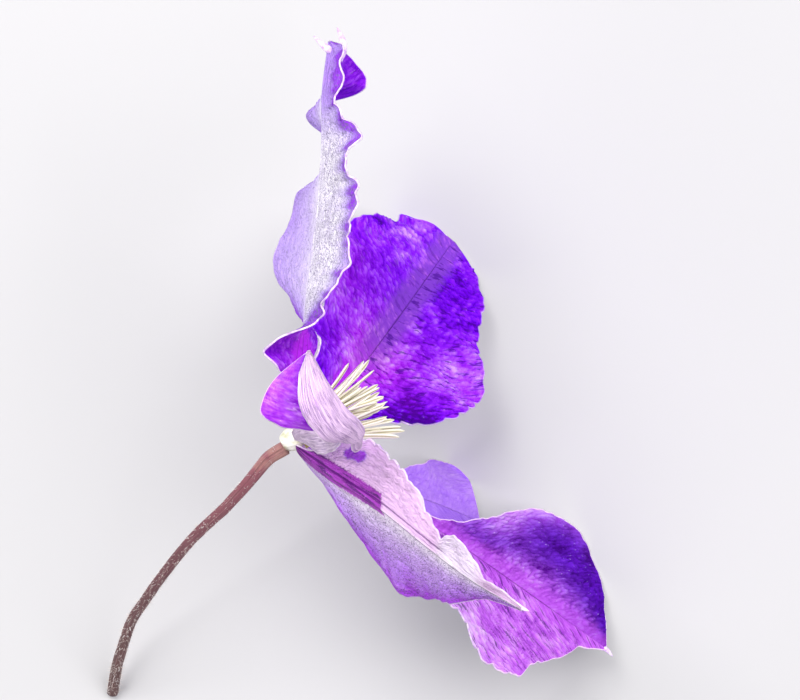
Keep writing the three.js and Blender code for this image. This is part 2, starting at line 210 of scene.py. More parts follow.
class Wiring:
    """A material's node tree, with a short method for each kind of node."""

    def __init__(self, name: str) -> None:
        """Starts a material with one Principled surface.

        Args:
            name: The material's name.
        """
        self.material = bpy.data.materials.new(name)
        self.material.use_nodes = True
        self.tree = self.material.node_tree
        self.surface = self.tree.nodes["Principled BSDF"]

    def put(self, socket: bpy.types.NodeSocket, value: Value) -> None:
        """Links a socket to another, or sets its plain value.

        Args:
            socket: The input.
            value: The output that it is linked to, or a plain value.
        """
        if isinstance(value, bpy.types.NodeSocket):
            self.tree.links.new(value, socket)
        else:
            socket.default_value = value

    def node(self, kind: str, values: dict[str | int, Value], **settings: object) -> bpy.types.Node:
        """Adds a node.

        Args:
            kind: The node's class.
            values: What its inputs hold or are linked to.
            **settings: The node's own properties.

        Returns:
            The new node.
        """
        made = self.tree.nodes.new(kind)
        for key, value in settings.items():
            setattr(made, key, value)
        for key, value in values.items():
            self.put(made.inputs[key], value)
        return made

    def place(self, name: str) -> bpy.types.NodeSocket:
        """Reads a vector attribute of the piece."""
        return self.node("ShaderNodeAttribute", {}, attribute_name=name).outputs["Vector"]

    def own(self) -> bpy.types.NodeSocket:
        """Reads the piece's own Object coordinates."""
        return self.node("ShaderNodeTexCoord", {}).outputs["Object"]

    def split(self, vector: Value) -> list[bpy.types.NodeSocket]:
        """Gives a vector's three parts."""
        return list(self.node("ShaderNodeSeparateXYZ", {0: vector}).outputs)

    def join(self, x: Value, y: Value, z: Value) -> bpy.types.NodeSocket:
        """Makes a vector of three parts."""
        return self.node("ShaderNodeCombineXYZ", {0: x, 1: y, 2: z}).outputs[0]

    def stretch(self, vector: Value, scale: tuple[float, float, float]) -> bpy.types.NodeSocket:
        """Multiplies a vector's parts by three numbers."""
        made = self.node("ShaderNodeVectorMath", {0: vector, 1: scale}, operation="MULTIPLY")
        return made.outputs[0]

    def maths(self, operation: str, a: Value, b: Value = 0.0) -> bpy.types.NodeSocket:
        """Works out one sum of two numbers."""
        return self.node("ShaderNodeMath", {0: a, 1: b}, operation=operation).outputs[0]

    def times(self, a: Value, b: Value) -> bpy.types.NodeSocket:
        """Multiplies two numbers."""
        return self.maths("MULTIPLY", a, b)

    def unsigned(self, value: Value) -> bpy.types.NodeSocket:
        """Drops a number's sign."""
        return self.maths("ABSOLUTE", value)

    def apart(self, a: Value, b: Value) -> bpy.types.NodeSocket:
        """Gives how far apart two numbers are."""
        return self.unsigned(self.maths("SUBTRACT", a, b))

    def total(self, start: float, *terms: tuple[Value, float]) -> Value:
        """Adds values, each times its own factor, to a start.

        Args:
            start: The number to add to.
            *terms: Pairs of a value and its factor.

        Returns:
            The sum.
        """
        gathered: Value = start
        for value, factor in terms:
            values = {0: value, 1: factor, 2: gathered}
            gathered = self.node("ShaderNodeMath", values, operation="MULTIPLY_ADD").outputs[0]
        return gathered

    def noise(self, vector: Value, scale: float, detail: float = 2.0) -> bpy.types.NodeSocket:
        """Gives cloudy noise of 0 to 1."""
        values = {"Vector": vector, "Scale": scale, "Detail": detail}
        return self.node("ShaderNodeTexNoise", values).outputs["Fac"]

    def rise(self, value: Value, low: float, high: float) -> bpy.types.NodeSocket:
        """Rises smoothly from 0 at low to 1 at high, or falls where low is the greater.

        Args:
            value: What is read.
            low: Where the rise starts.
            high: Where it ends.

        Returns:
            A share of 0 to 1.
        """
        values = {"Value": value, "From Min": low, "From Max": high}
        made = self.node("ShaderNodeMapRange", values, interpolation_type="SMOOTHSTEP")
        return made.outputs["Result"]

    def ramp(self, value: Value, stops: tuple[tuple[float, Colour], ...]) -> bpy.types.NodeSocket:
        """Runs through colours at set places.

        Args:
            value: What is read.
            stops: Places and their colours, by rising place.

        Returns:
            The colour.
        """
        made = self.node("ShaderNodeValToRGB", {0: value})
        ladder = made.color_ramp.elements
        while len(ladder) < len(stops):
            ladder.new(0.5)
        for step, (place, colour) in zip(ladder, stops):
            step.position = place
            step.color = colour
        return made.outputs["Color"]

    def blend(self, share: Value, a: Value, b: Value) -> bpy.types.NodeSocket:
        """Mixes two colours, from all a at a share of 0 to all b at 1."""
        return self.node("ShaderNodeMix", {0: share, 6: a, 7: b}, data_type="RGBA").outputs[2]

    def lay(self, cover: Value, share: Value, colour: Value, over: Value) -> bpy.types.NodeSocket:
        """Lays a second colour over the first, as strongly as cover times share."""
        return self.blend(self.times(cover, share), colour, over)

    def bump(self, height: Value, distance: float, under: Value | None = None) -> bpy.types.NodeSocket:
        """Raises the shading by a height of 0 to 1 times a distance in metres.

        Args:
            height: How high each point is.
            distance: The height of 1, in metres.
            under: Bumps that these lie on.

        Returns:
            The bumps, for a Normal socket.
        """
        values: dict[str | int, Value] = {"Height": height, "Distance": distance}
        if under is not None:
            values["Normal"] = under
        return self.node("ShaderNodeBump", values).outputs["Normal"]

    def fill(self, colour: Value, roughness: float, specular: float | None = None,
             normal: Value | None = None) -> bpy.types.Material:
        """Fills the surface's own sockets.

        Args:
            colour: The base colour.
            roughness: The roughness, the same all over.
            specular: The specular level, where it isn't the usual one.
            normal: The shading's bumps.

        Returns:
            The finished material.
        """
        self.put(self.surface.inputs["Base Color"], colour)
        self.put(self.surface.inputs["Roughness"], roughness)
        if specular is not None:
            self.put(self.surface.inputs["Specular IOR Level"], specular)
        if normal is not None:
            self.put(self.surface.inputs["Normal"], normal)
        return self.material


# ---- finishes ------------------------------------------------------------------------------


@dataclass(frozen=True)
class Velvet:
    """The inner face of a tepal: violet, quilted and flecked, with a warm band along its middle and painted
    highlights on its raised puffs.
    """

    name: str
    dark: Colour = srgb(66, 0, 140)
    deep: Colour = srgb(106, 0, 222)
    body: Colour = srgb(140, 26, 248)
    light: Colour = srgb(172, 88, 255)
    pale: Colour = srgb(212, 152, 255)
    heart_deep: Colour = srgb(150, 8, 206)
    heart: Colour = srgb(196, 48, 242)
    heart_light: Colour = srgb(220, 118, 252)
    heart_pale: Colour = srgb(246, 200, 255)
    band: Colour = srgb(136, 72, 204)
    nerve: Colour = srgb(92, 24, 150)
    brim: Colour = srgb(252, 218, 255)
    contrast: float = 1.0
    band_width: float = 2.6
    band_share: float = 0.8
    band_start: tuple[float, float] = (14.0, 28.0)
    nerve_place: float = 1.2
    nerve_share: float = 0.4
    nerve_fade: tuple[float, float] = (24.0, 46.0)
    dashes: float = 0.3
    away_dashes: float = 0.4
    glints: float = 0.3
    rim: float = 0.8
    noise_tones: tuple[float, float, float, float] = (0.45, 0.3, 0.2, 0.8)
    puff_tone: float = 0.18
    roughness: float = 0.62
    specular: float = 0.03

    def make(self) -> bpy.types.Material:
        """Builds the material from the sheet's own coordinates.

        Returns:
            The material.
        """
        w = Wiring(self.name)
        along, across, brim = w.split(w.place("sheet"))
        veins = w.place("veins")
        _, _, puff = w.split(veins)
        light, heart, _ = w.split(w.place("wash"))
        streak = w.noise(w.stretch(veins, (0.8, 0.24, 0.0)), 1.0, 1.0)
        fleck = w.noise(w.stretch(veins, (1.1, 0.8, 0.0)), 1.0, 2.0)
        grain = w.noise(w.stretch(veins, (3.0, 2.4, 0.0)), 1.0, 2.0)
        cloud = w.noise(w.place("sheet"), 0.24, 4.0)
        noises = [(noise, share * self.contrast)
                  for noise, share in zip((streak, fleck, grain, cloud), self.noise_tones)]
        tone = w.total(0.5 - 0.5 * self.contrast * sum(self.noise_tones),
                       (puff, self.puff_tone * self.contrast), *noises, (light, 1.0))
        cool = w.ramp(tone, ((0.1, self.dark), (0.32, self.deep), (0.54, self.body),
                             (0.78, self.light), (1.0, self.pale)))
        warm = w.ramp(tone, ((0.12, self.heart_deep), (0.42, self.heart), (0.68, self.heart_light),
                             (0.95, self.heart_pale)))
        colour = w.blend(heart, cool, warm)
        side = w.unsigned(across)
        wandering = w.total(-1.0, (side, 1.0), (streak, 2.0))
        middle = w.rise(wandering, self.band_width + 1.0, self.band_width - 1.2)
        mauve = w.blend(w.rise(along, *self.band_start), self.heart, self.band)
        mauve = w.blend(w.rise(tone, 0.5, 1.2), mauve, self.heart_light)
        colour = w.lay(middle, self.band_share, colour, mauve)
        whole, gone = self.nerve_fade
        pair = w.times(w.rise(w.apart(side, self.nerve_place), 0.2, 0.04),
                       w.rise(along, gone, whole))
        nerves = w.maths("MAXIMUM", pair, w.rise(side, 0.22, 0.05))
        colour = w.lay(nerves, self.nerve_share, colour, self.nerve)
        dash = w.rise(w.noise(w.stretch(veins, (1.6, 0.45, 0.0)), 1.0, 2.0), 0.54, 0.66)
        amount = w.total(self.dashes, (w.rise(across, 0.6, -0.6), self.away_dashes - self.dashes))
        colour = w.lay(dash, amount, colour, self.dark)
        # Painted highlights: small pale glints on the raised puffs, where light catches the velvet.
        glint = w.rise(w.noise(w.stretch(veins, (2.7, 1.9, 0.0)), 1.0, 1.0), 0.64, 0.76)
        glint = w.times(glint, w.rise(puff, -0.2, 0.5))
        colour = w.lay(glint, self.glints, colour, self.heart_pale)
        edge = w.rise(w.total(0.0, (brim, 1.0), (grain, 0.14)), 0.3, 0.14)
        colour = w.lay(edge, self.rim, colour, self.brim)
        bumps = w.bump(fleck, 0.00022, w.bump(grain, 0.00014))
        return w.fill(colour, self.roughness, self.specular, bumps)


@dataclass(frozen=True)
class Down:
    """The outer face of a tepal: whitish and downy, with lengthwise veins and small dark marks that are
    painted shadows of its fine down.
    """

    name: str
    white: Colour = srgb(252, 246, 255)
    blush: Colour = srgb(252, 226, 252)
    tint: Colour = srgb(194, 162, 246)
    strong: Colour = srgb(122, 62, 214)
    vein: Colour = srgb(146, 104, 196)
    # Colour of the small dark marks that paint the shadows of the fine down.
    down_shadow: Colour = srgb(96, 80, 128)
    brim: Colour = srgb(255, 240, 255)
    bar: Colour = srgb(166, 46, 188)
    bar_line: Colour = srgb(92, 0, 122)
    bar_fleck: Colour = srgb(206, 112, 220)
    bar_reach: float = 0.0
    bar_width: float = 1.65
    bar_middle: float = -0.5
    bar_lines: tuple[tuple[float, float], ...] = ((-0.6, 19.5), (0.35, 46.0), (-0.8, 36.0))
    veins_across: float = 20.0
    vein_share: float = 0.3
    down_shadow_share: float = 0.5
    down_shadow_place: float = 0.86
    rim: float = 0.8
    roughness: float = 0.6
    specular: float = 0.12

    def make(self) -> bpy.types.Material:
        """Builds the material from the sheet's own coordinates.

        Returns:
            The material.
        """
        w = Wiring(self.name)
        sheet = w.place("sheet")
        along, across, brim = w.split(sheet)
        _, _, tinted = w.split(w.place("wash"))
        down_shadowed, blushed, _ = w.split(w.place("marks"))
        share = w.maths("DIVIDE", across, w.total(0.2, (w.unsigned(across), 1.0), (brim, 1.0)))
        fan = w.join(w.times(along, 0.16), w.times(share, self.veins_across), 0.0)
        lines = w.rise(w.apart(w.noise(fan, 1.0, 2.0), 0.5), 0.05, 0.0)
        grain = w.noise(sheet, 3.4, 3.0)
        wide = w.noise(sheet, 0.16, 2.0)
        strength = w.total(-0.22, (tinted, 1.0), (wide, 0.2), (grain, 0.24))
        colour = w.ramp(strength, ((0.0, self.white), (0.62, self.tint), (1.0, self.strong)))
        colour = w.lay(blushed, w.rise(strength, 0.75, 0.35), colour, self.blush)
        colour = w.lay(lines, self.vein_share, colour, self.vein)
        # Painted shadows of the fine down: small dark marks scattered over the outer face.
        fine = w.total(0.0, (w.noise(sheet, 4.2, 1.0), 1.0), (w.noise(sheet, 0.8, 2.0), 0.3),
                       (down_shadowed, 0.2))
        shadow_dots = w.rise(fine, self.down_shadow_place, self.down_shadow_place + 0.12)
        shadow_dots = w.times(shadow_dots, w.rise(down_shadowed, 0.0, 0.3))
        colour = w.lay(shadow_dots, self.down_shadow_share, colour, self.down_shadow)
        if self.bar_reach > 0:
            colour = self.add_bar(w, colour, along, across, grain)
        edge = w.rise(w.total(0.0, (brim, 1.0), (grain, 0.12)), 0.26, 0.12)
        colour = w.lay(edge, self.rim, colour, self.brim)
        bumps = w.bump(lines, 0.00008, w.bump(grain, 0.00010))
        return w.fill(colour, self.roughness, self.specular, bumps)

    def add_bar(self, w: Wiring, colour: Value, along: Value, across: Value, grain: Value) -> Value:
        """Lays the dark bar that runs from the claw along the middle.

        Args:
            w: The node tree.
            colour: The colour so far.
            along: Distance along the spine.
            across: Distance from the spine.
            grain: Fine noise.

        Returns:
            The colour with the bar.
        """
        ragged = w.total(-0.4, (w.apart(across, self.bar_middle), 1.0), (grain, 0.8))
        end = w.total(-0.6, (along, 1.0), (grain, 1.2), (across, -0.35))
        bar = w.times(w.rise(ragged, self.bar_width + 0.25, self.bar_width - 0.15),
                      w.rise(end, self.bar_reach + 0.3, self.bar_reach - 0.3))
        stripe = w.noise(w.join(w.times(along, 0.2), w.times(across, 2.6), 0.0), 1.0, 3.0)
        fleck = w.noise(w.join(along, w.times(across, 2.0), 0.0), 2.6, 2.0)
        inside = w.blend(w.rise(stripe, 0.50, 0.62), self.bar, self.bar_line)
        inside = w.lay(w.rise(fleck, 0.56, 0.70), 0.55, inside, self.bar_fleck)
        colour = w.lay(bar, 0.95, colour, inside)
        for place, reach in self.bar_lines:
            gap = w.unsigned(w.total(-place, (across, 1.0), (grain, 0.2)))
            line = w.times(w.rise(gap, 0.2, 0.04), w.rise(along, reach, reach - 3.0))
            colour = w.lay(line, 0.75, colour, self.bar_line)
        return colour


@dataclass(frozen=True)
class Mottled:
    """A skin of one colour that is clouded with a shade of it."""

    name: str
    colour: Colour
    shade: Colour
    grain: float = 900.0
    detail: float = 3.0
    clouds: tuple[float, float] = (0.4, 0.6)
    roughness: float = 0.5
    bumps: float = 0.0

    def make(self) -> bpy.types.Material:
        """Builds the material on Object coordinates.

        Returns:
            The material.
        """
        w = Wiring(self.name)
        cloud = w.noise(w.own(), self.grain, self.detail)
        shaded, clear = self.clouds
        colour = w.ramp(cloud, ((shaded, self.shade), (clear, self.colour)))
        normal = w.bump(cloud, self.bumps) if self.bumps > 0 else None
        return w.fill(colour, self.roughness, normal=normal)


@dataclass(frozen=True)
class Cream:
    """Filaments, anthers and styles: cream, with olive grooves and yellow-green feet."""

    name: str
    cream: Colour = srgb(255, 252, 228)
    foot: Colour = srgb(206, 206, 104)
    groove: Colour = srgb(150, 138, 72)

    def make(self) -> bpy.types.Material:
        """Builds the material from the thread's own coordinates.

        Returns:
            The material.
        """
        w = Wiring(self.name)
        along, round_, draw = w.split(w.place("thread"))
        grain = w.noise(w.join(w.times(along, 60.0), round_, draw), 2.2, 3.0)
        colour = w.blend(w.rise(along, 0.5, 0.08), self.cream, self.foot)
        deep = w.times(w.rise(w.unsigned(round_), 0.84, 1.0), w.rise(along, 0.05, 0.3))
        colour = w.lay(deep, 0.75, colour, self.groove)
        colour = w.lay(w.rise(grain, 0.56, 0.74), 0.25, colour, self.groove)
        return w.fill(colour, 0.5, normal=w.bump(grain, 0.00006))


@dataclass(frozen=True)
class Skin:
    """The skin of the stalk, from tan under the bloom through rose to brown, with paler ribs."""

    name: str = "stalk_skin"
    top: Colour = srgb(182, 134, 124)
    rose: Colour = srgb(150, 86, 98)
    dusk: Colour = srgb(114, 68, 76)
    brown: Colour = srgb(104, 72, 70)
    pale: Colour = srgb(220, 178, 176)

    def make(self) -> bpy.types.Material:
        """Builds the material from the stalk's own coordinates.

        Returns:
            The material.
        """
        w = Wiring(self.name)
        along, round_, _ = w.split(w.place("thread"))
        cloud = w.noise(w.own(), 420.0, 4.0)
        where = w.maths("ADD", along, w.times(w.maths("SUBTRACT", cloud, 0.5), 0.22))
        colour = w.ramp(where, ((0.0, self.top), (0.07, self.rose), (0.45, self.dusk), (0.9, self.brown)))
        ribs = w.noise(w.join(w.times(along, 9.0), w.times(round_, 9.0), 0.0), 1.0, 3.0)
        colour = w.lay(w.rise(ribs, 0.52, 0.72), 0.5, colour, self.pale)
        return w.fill(colour, 0.58, normal=w.bump(ribs, 0.00025, w.bump(cloud, 0.0001)))


@dataclass(frozen=True)
class Paper:
    """The plain pale floor."""

    name: str = "pale_floor"
    colour: Colour = (0.60, 0.60, 0.60, 1.0)

    def make(self) -> bpy.types.Material:
        """Builds the material."""
        return Wiring(self.name).fill(self.colour, 0.8, 0.1)


KNOB_SKIN = Mottled("receptacle_skin", srgb(250, 248, 236), srgb(214, 214, 178), detail=4.0,
                    clouds=(0.36, 0.56), roughness=0.6, bumps=0.0002)
WHITE_HAIR = Mottled("white_hair", srgb(244, 240, 236), srgb(214, 200, 190), detail=2.0)
PALE_EDGE = Mottled("pale_edge", srgb(250, 234, 254), srgb(216, 172, 244), grain=1500.0,
                    clouds=(0.35, 0.6), bumps=0.00005)


@cache
def edge_material() -> bpy.types.Material:
    """Makes the pale edge's material once, for every tepal."""
    return PALE_EDGE.make()


# ---- meshes --------------------------------------------------------------------------------


def deselect() -> None:
    """Leaves object mode with nothing selected."""
    if bpy.context.mode != "OBJECT":
        bpy.ops.object.mode_set(mode="OBJECT")
    bpy.ops.object.select_all(action="DESELECT")


def take(piece: bpy.types.Object) -> None:
    """Selects one object alone and makes it active.

    Args:
        piece: The object.
    """
    deselect()
    piece.select_set(True)
    bpy.context.view_layer.objects.active = piece


def corners(piece: bpy.types.Object) -> np.ndarray:
    """Reads the vertices of a mesh as rows of x, y, z.

    Args:
        piece: The mesh object.

    Returns:
        One row for each vertex.
    """
    flat = np.empty(len(piece.data.vertices) * 3)
    piece.data.vertices.foreach_get("co", flat)
    return flat.reshape(-1, 3)


def settle(piece: bpy.types.Object, points: np.ndarray) -> None:
    """Moves the vertices of a mesh to new places."""
    piece.data.vertices.foreach_set("co", points.ravel())
    piece.data.update()


def note(piece: bpy.types.Object, name: str, values: np.ndarray) -> None:
    """Keeps a vector for each vertex, which a material reads."""
    kept = piece.data.attributes.new(name, "FLOAT_VECTOR", "POINT")
    kept.data.foreach_set("vector", np.ascontiguousarray(values, dtype=np.float32).ravel())


def finish_modifiers(piece: bpy.types.Object) -> None:
    """Applies every modifier of a piece, in order.

    Args:
        piece: The object.
    """
    take(piece)
    for modifier in list(piece.modifiers):
        bpy.ops.object.modifier_apply(modifier=modifier.name)


def label(piece: bpy.types.Object, name: str) -> None:
    """Names an object and its mesh alike."""
    piece.name = name
    piece.data.name = name


def dress(piece: bpy.types.Object, *materials: bpy.types.Material) -> None:
    """Gives a piece its material slots.

    Args:
        piece: The object.
        *materials: One material for each slot, in order.
    """
    piece.data.materials.clear()
    for material in materials:
        piece.data.materials.append(material)


def straight_tube(name: str, sides: int, rings: int) -> bpy.types.Object:
    """Models a closed tube of radius 1 that runs from 0 to 1 along Z.

    Args:
        name: The object's name.
        sides: Faces round the tube.
        rings: Faces along the tube.

    Returns:
        The tube, at the origin.
    """
    deselect()
    bpy.ops.mesh.primitive_cylinder_add(vertices=sides, radius=1, depth=1, end_fill_type="TRIFAN")
    tube = bpy.context.object
    label(tube, name)
    bpy.ops.object.mode_set(mode="EDIT")
    bpy.ops.mesh.select_mode(type="EDGE")
    bpy.ops.mesh.select_all(action="DESELECT")
    bpy.ops.object.mode_set(mode="OBJECT")
    at = corners(tube)
    for edge in tube.data.edges:
        a, b = edge.vertices
        edge.select = bool(abs(at[a, 2] - at[b, 2]) > 0.5)
    bpy.ops.object.mode_set(mode="EDIT")
    bpy.ops.mesh.subdivide(number_cuts=rings - 1)
    bpy.ops.object.mode_set(mode="OBJECT")
    at = corners(tube)
    at[:, 2] += 0.5
    settle(tube, at)
    return tube


def carry(path: np.ndarray, level: np.ndarray) -> tuple[np.ndarray, np.ndarray]:
    """Carries a level direction along a path without twist.

    Args:
        path: Points of the path.
        level: The direction at its start.

    Returns:
        Two directions across the path at each point.
    """
    forward = unit(np.gradient(path, axis=0))
    first, second = [], []
    for step in forward:
        level = unit(level - np.dot(level, step) * step)
        first.append(level)
        second.append(np.cross(step, level))
    return np.array(first), np.array(second)


def polar(at: np.ndarray) -> tuple[np.ndarray, np.ndarray]:
    """Gives each vertex's angle round Z and its distance from Z."""
    return np.arctan2(at[:, 1], at[:, 0]), np.hypot(at[:, 0], at[:, 1])


def rings_of(at: np.ndarray, path: np.ndarray) -> np.ndarray:
    """Finds the point of the path that each vertex of a straight tube belongs to."""
    return np.rint(at[:, 2] * (len(path) - 1)).astype(int)


def along_path(at: np.ndarray, path: np.ndarray, level: np.ndarray, x: np.ndarray,
               y: np.ndarray) -> np.ndarray:
    """Lays the vertices of a straight tube along a path.

    Args:
        at: The straight tube's vertices.
        path: Points of the path, one for each ring of the tube.
        level: The direction of x at the path's start.
        x: How far each vertex lies from the path in the first direction across it.
        y: The same in the second direction.

    Returns:
        The places of the vertices.
    """
    first, second = carry(path, level)
    ring = rings_of(at, path)
    return path[ring] + x[:, None] * first[ring] + y[:, None] * second[ring]


def receptacle_place() -> np.ndarray:
    """Finds the point that the tepals start from, in millimetres."""
    low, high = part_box("receptacle")
    return (np.array(low) + np.array(high)) / 2 / MM - KNOB_MIDDLE


ROOT = receptacle_place()


# ---- tepals --------------------------------------------------------------------------------


class Side(Enum):
    """The two halves of a tepal, on either side of its spine."""

    NEAR = 1
    AWAY = -1


@dataclass(frozen=True)
class Patch:
    """A soft area of a half whose colour differs from the rest.

    Attributes:
        u: Its place along the spine, from 0 at the foot to 1 at the tip.
        v: Its place across the half, from 0 at the spine to 1 at the margin.
        long: Its reach along the spine.
        wide: Its reach across the half.
        light: How much lighter the inner face is there.
        heart: How much warmer the inner face is there.
        tint: How much more violet the outer face is there.
    """

    u: float
    v: float
    long: float
    wide: float
    light: float = 0.0
    heart: float = 0.0
    tint: float = 0.0

    def cover(self, u: np.ndarray, v: np.ndarray) -> np.ndarray:
        """Gives the share of the patch at each point, by row and column."""
        far = ((u[:, None] - self.u) / self.long) ** 2 + ((v - self.v) / self.wide) ** 2
        return np.exp(-far)


@dataclass(frozen=True)
class Half:
    """One half of a tepal, as values along its spine.

    Attributes:
        width: How far the margin lies from the spine.
        fold: The angle at which the half leaves the spine, in degrees.
        curl: How far it bends from there to the margin, in degrees.
        wave: Height, number and phase of the margin's waves.
        frill: Height of the crinkles near the margin.
        teeth: Depth of the margin's fine teeth.
        slant: How far back a side vein starts for each step outwards.
        light: How much lighter the inner face is.
        heart: The share of the warm colours on the inner face.
        tint: The strength of violet on the outer face.
        tint_fan: What tint is multiplied by from the spine to the margin.
        margin_shade: How much painted shade, in blotches near the margin, adds to tint.
        down_shadows: How thickly the outer face is marked with painted shadows of its down.
        blush: The share of pink on the outer face.
        sweep: How far the margin is drawn towards the tip.
        notches: Place, depth and length of each notch.
        scallop: Depth, number and phase of the margin's lobes.
        patches: Areas of another colour.
    """

    width: Keys
    fold: Keys = LEVEL
    curl: Keys = LEVEL
    wave: tuple[float, float, float] = (0.5, 4.0, 0.0)
    frill: float = 0.35
    teeth: float = 0.3
    slant: float = 0.7
    light: Keys = LEVEL
    heart: Keys = LEVEL
    tint: Keys = ((0.0, 0.25), (1.0, 0.25))
    tint_fan: Keys = ((0.0, 1.0), (1.0, 1.0))
    margin_shade: float = 0.0
    down_shadows: Keys = ((0.0, 0.3), (1.0, 0.3))
    blush: Keys = LEVEL
    sweep: Keys = LEVEL
    notches: tuple[tuple[float, float, float], ...] = ()
    scallop: tuple[float, float, float] = (0.0, 10.0, 0.0)
    patches: tuple[Patch, ...] = ()


@dataclass(frozen=True)
class Horn:
    """The short pale point at a tepal's tip."""

    foot: tuple[float, float, float]
    bend: tuple[float, float, float]
    tip: tuple[float, float, float]
    radius: float = 0.42
    taper: Keys = ((0, 0.3), (0.3, 1), (0.7, 0.7), (1, 0.15))
    sides: int = 10
    steps: int = 12

    def build(self) -> bpy.types.Object:
        """Models the point as a tapered tube along its bend.

        Returns:
            The point, to be joined to its tepal.
        """
        tube = straight_tube("horn", self.sides, self.steps)
        at = corners(tube)
        path = spline((self.foot, self.bend, self.tip), np.linspace(0, 1, self.steps + 1))
        girth = self.radius * keyed(self.taper, at[:, 2])
        settle(tube, (along_path(at, path, AXIS, at[:, 0] * girth, at[:, 1] * girth) + ROOT) * MM)
        dress(tube, edge_material())
        take(tube)
        bpy.ops.object.shade_smooth()
        return tube


@dataclass
class Tepal:
    """One tepal, made as a sheet that gets its two faces and its edge at the end."""

    node: str
    spine: Points
    sag: float
    roll: Keys
    near: Half
    away: Half
    inner: Velvet
    outer: Down
    seed: int
    horns: tuple[Horn, ...] = ()
    quilt: float = 0.46
    soft_folds: float = 0.22
    groove: float = 0.2
    groove_width: float = 0.3
    beside_width: float = 0.22
    vein_bend: float = 0.02
    vein_sway: float = 1.1
    puff_long: float = 1.35
    puff_wide: float = 0.8
    spacing: float = 0.215
    thickness: float = 0.26
    clearance: float = 0.02
    seat_depth: float = 0.9
    seat_reach: float = 3.5
    length: float = field(init=False, default=0.0)

    def half(self, side: Side) -> Half:
        """Gives the values of one half."""
        return self.near if side is Side.NEAR else self.away

    def own_seed(self, side: Side) -> int:
        """Gives the seed of one half's own noises."""
        return self.seed * 10 + side.value

    def size(self) -> tuple[int, int]:
        """Measures the spine and picks how many faces keep the sheet's faces about the same size.

        Returns:
            The faces along the sheet and the faces across it.
        """
        _, self.length = evenly(self.spine, np.zeros(1))
        widest = sum(max(value for _, value in self.half(side).width) for side in Side)
        return int(self.length / self.spacing), 2 * int(widest / self.spacing / 2)

    def across(self, side: Side, u: np.ndarray,
               v: np.ndarray) -> tuple[np.ndarray, np.ndarray, np.ndarray]:
        """Works out one half's section at every row.

        Args:
            side: Which half.
            u: Shares of the length, one for each row.
            v: Shares of the width, one for each column.

        Returns:
            How far out, how far up, and the width on the surface, each by row and column.
        """
        half = self.half(side)
        seed = self.own_seed(side)
        run = u * self.length
        tooth = 0.6 * wander(run, 1.1, 0.5, seed) + wander(run, 2.7, 3.5, seed)
        width = keyed(half.width, u)
        width = width + half.teeth * tooth * ease(width, 1.0, 4.0)
        depth, lobes, shift = half.scallop
        sway = 0.7 * wander(run, 5.0, 11.5, seed)
        cusp = 1 - np.abs(np.sin(np.pi * (lobes * u + shift + sway)))
        width = width + depth * (0.35 - cusp**1.5) * ease(width, 2.0, 5.0) * (1 - ease(u, 0.82, 0.88))
        for place, cut, long in half.notches:
            width = width - cut * np.exp(-(((u - place) / long) ** 2))
        width = np.maximum(width, 0.2)[:, None]
        fold = np.radians(keyed(half.fold, u))[:, None]
        curl = np.radians(keyed(half.curl, u))[:, None]
        curl = np.where(np.abs(curl) < 1e-3, 1e-3, curl)
        height, waves, phase = half.wave
        wave = height * np.sin(2 * np.pi * (waves * u + phase))[:, None] * v**2.5
        crinkle = wander(run, 3.4, 7.5, seed) + 0.4 * wander(run, 1.5, 9.5, seed)
        wave = (wave + half.frill * crinkle[:, None] * v**4) * np.minimum(width / 8, 1)
        angle = fold + curl * v
        out = width / curl * (np.sin(angle) - np.sin(fold)) - np.sin(angle) * wave
        lift = width / curl * (np.cos(fold) - np.cos(angle)) + np.cos(angle) * wave
        return out, lift, width * v

    def middle(self, u: np.ndarray, v: np.ndarray) -> tuple[np.ndarray, np.ndarray, np.ndarray]:
        """Works out the middle surface.

        Args:
            u: Shares of the length, one for each row.
            v: Shares of the width from -1 at the away margin to 1 at the near one.

        Returns:
            The points by row and column, the distance from the spine on the surface, and the
            distance from the margin.
        """
        q, self.length = evenly(self.spine, u)
        point = spline(self.spine, q)
        point[:, 2] -= self.sag * u * u
        forward = unit(spline(self.spine, q + 0.01) - spline(self.spine, np.maximum(q - 0.01, 0)))
        level = unit(np.cross(AXIS, forward))
        inward = np.cross(forward, level)
        roll = np.radians(keyed(self.roll, u))[:, None]
        across = np.cos(roll) * level + np.sin(roll) * inward
        face = -np.sin(roll) * level + np.cos(roll) * inward
        points = np.empty((len(u), len(v), 3))
        offset = np.empty((len(u), len(v)))
        brim = np.empty_like(offset)
        for side in Side:
            columns = v * side.value >= 0
            out, lift, reach = self.across(side, u, np.abs(v[columns]))
            points[:, columns] = (
                point[:, None]
                + (side.value * out)[:, :, None] * across[:, None]
                + lift[:, :, None] * face[:, None]
            )
            swept = keyed(self.half(side).sweep, u)[:, None] * np.abs(v[columns]) ** 2
            points[:, columns] += swept[:, :, None] * forward[:, None]
            offset[:, columns] = side.value * reach
            brim[:, columns] = np.max(reach, axis=1, keepdims=True) - reach
        end = (1 - u)[:, None] * self.length
        return points, offset, np.minimum(brim, end)

    def puffs(self, run: np.ndarray, offset: np.ndarray) -> np.ndarray:
        """Works out the quilting between the fine veins, from about -1 in a crease to 1.

        Args:
            run: Distance along the spine.
            offset: Distance from the spine on the surface.

        Returns:
            The quilting at each point.
        """
        flow, reach = self.flow(run, offset)
        large = np.abs(hills(flow / self.puff_wide, reach / self.puff_long, self.seed))
        small = np.abs(hills(1.9 * flow / self.puff_wide, 1.9 * reach / self.puff_long, self.seed + 50))
        return 2.4 * (0.75 * large + 0.4 * small) - 0.8

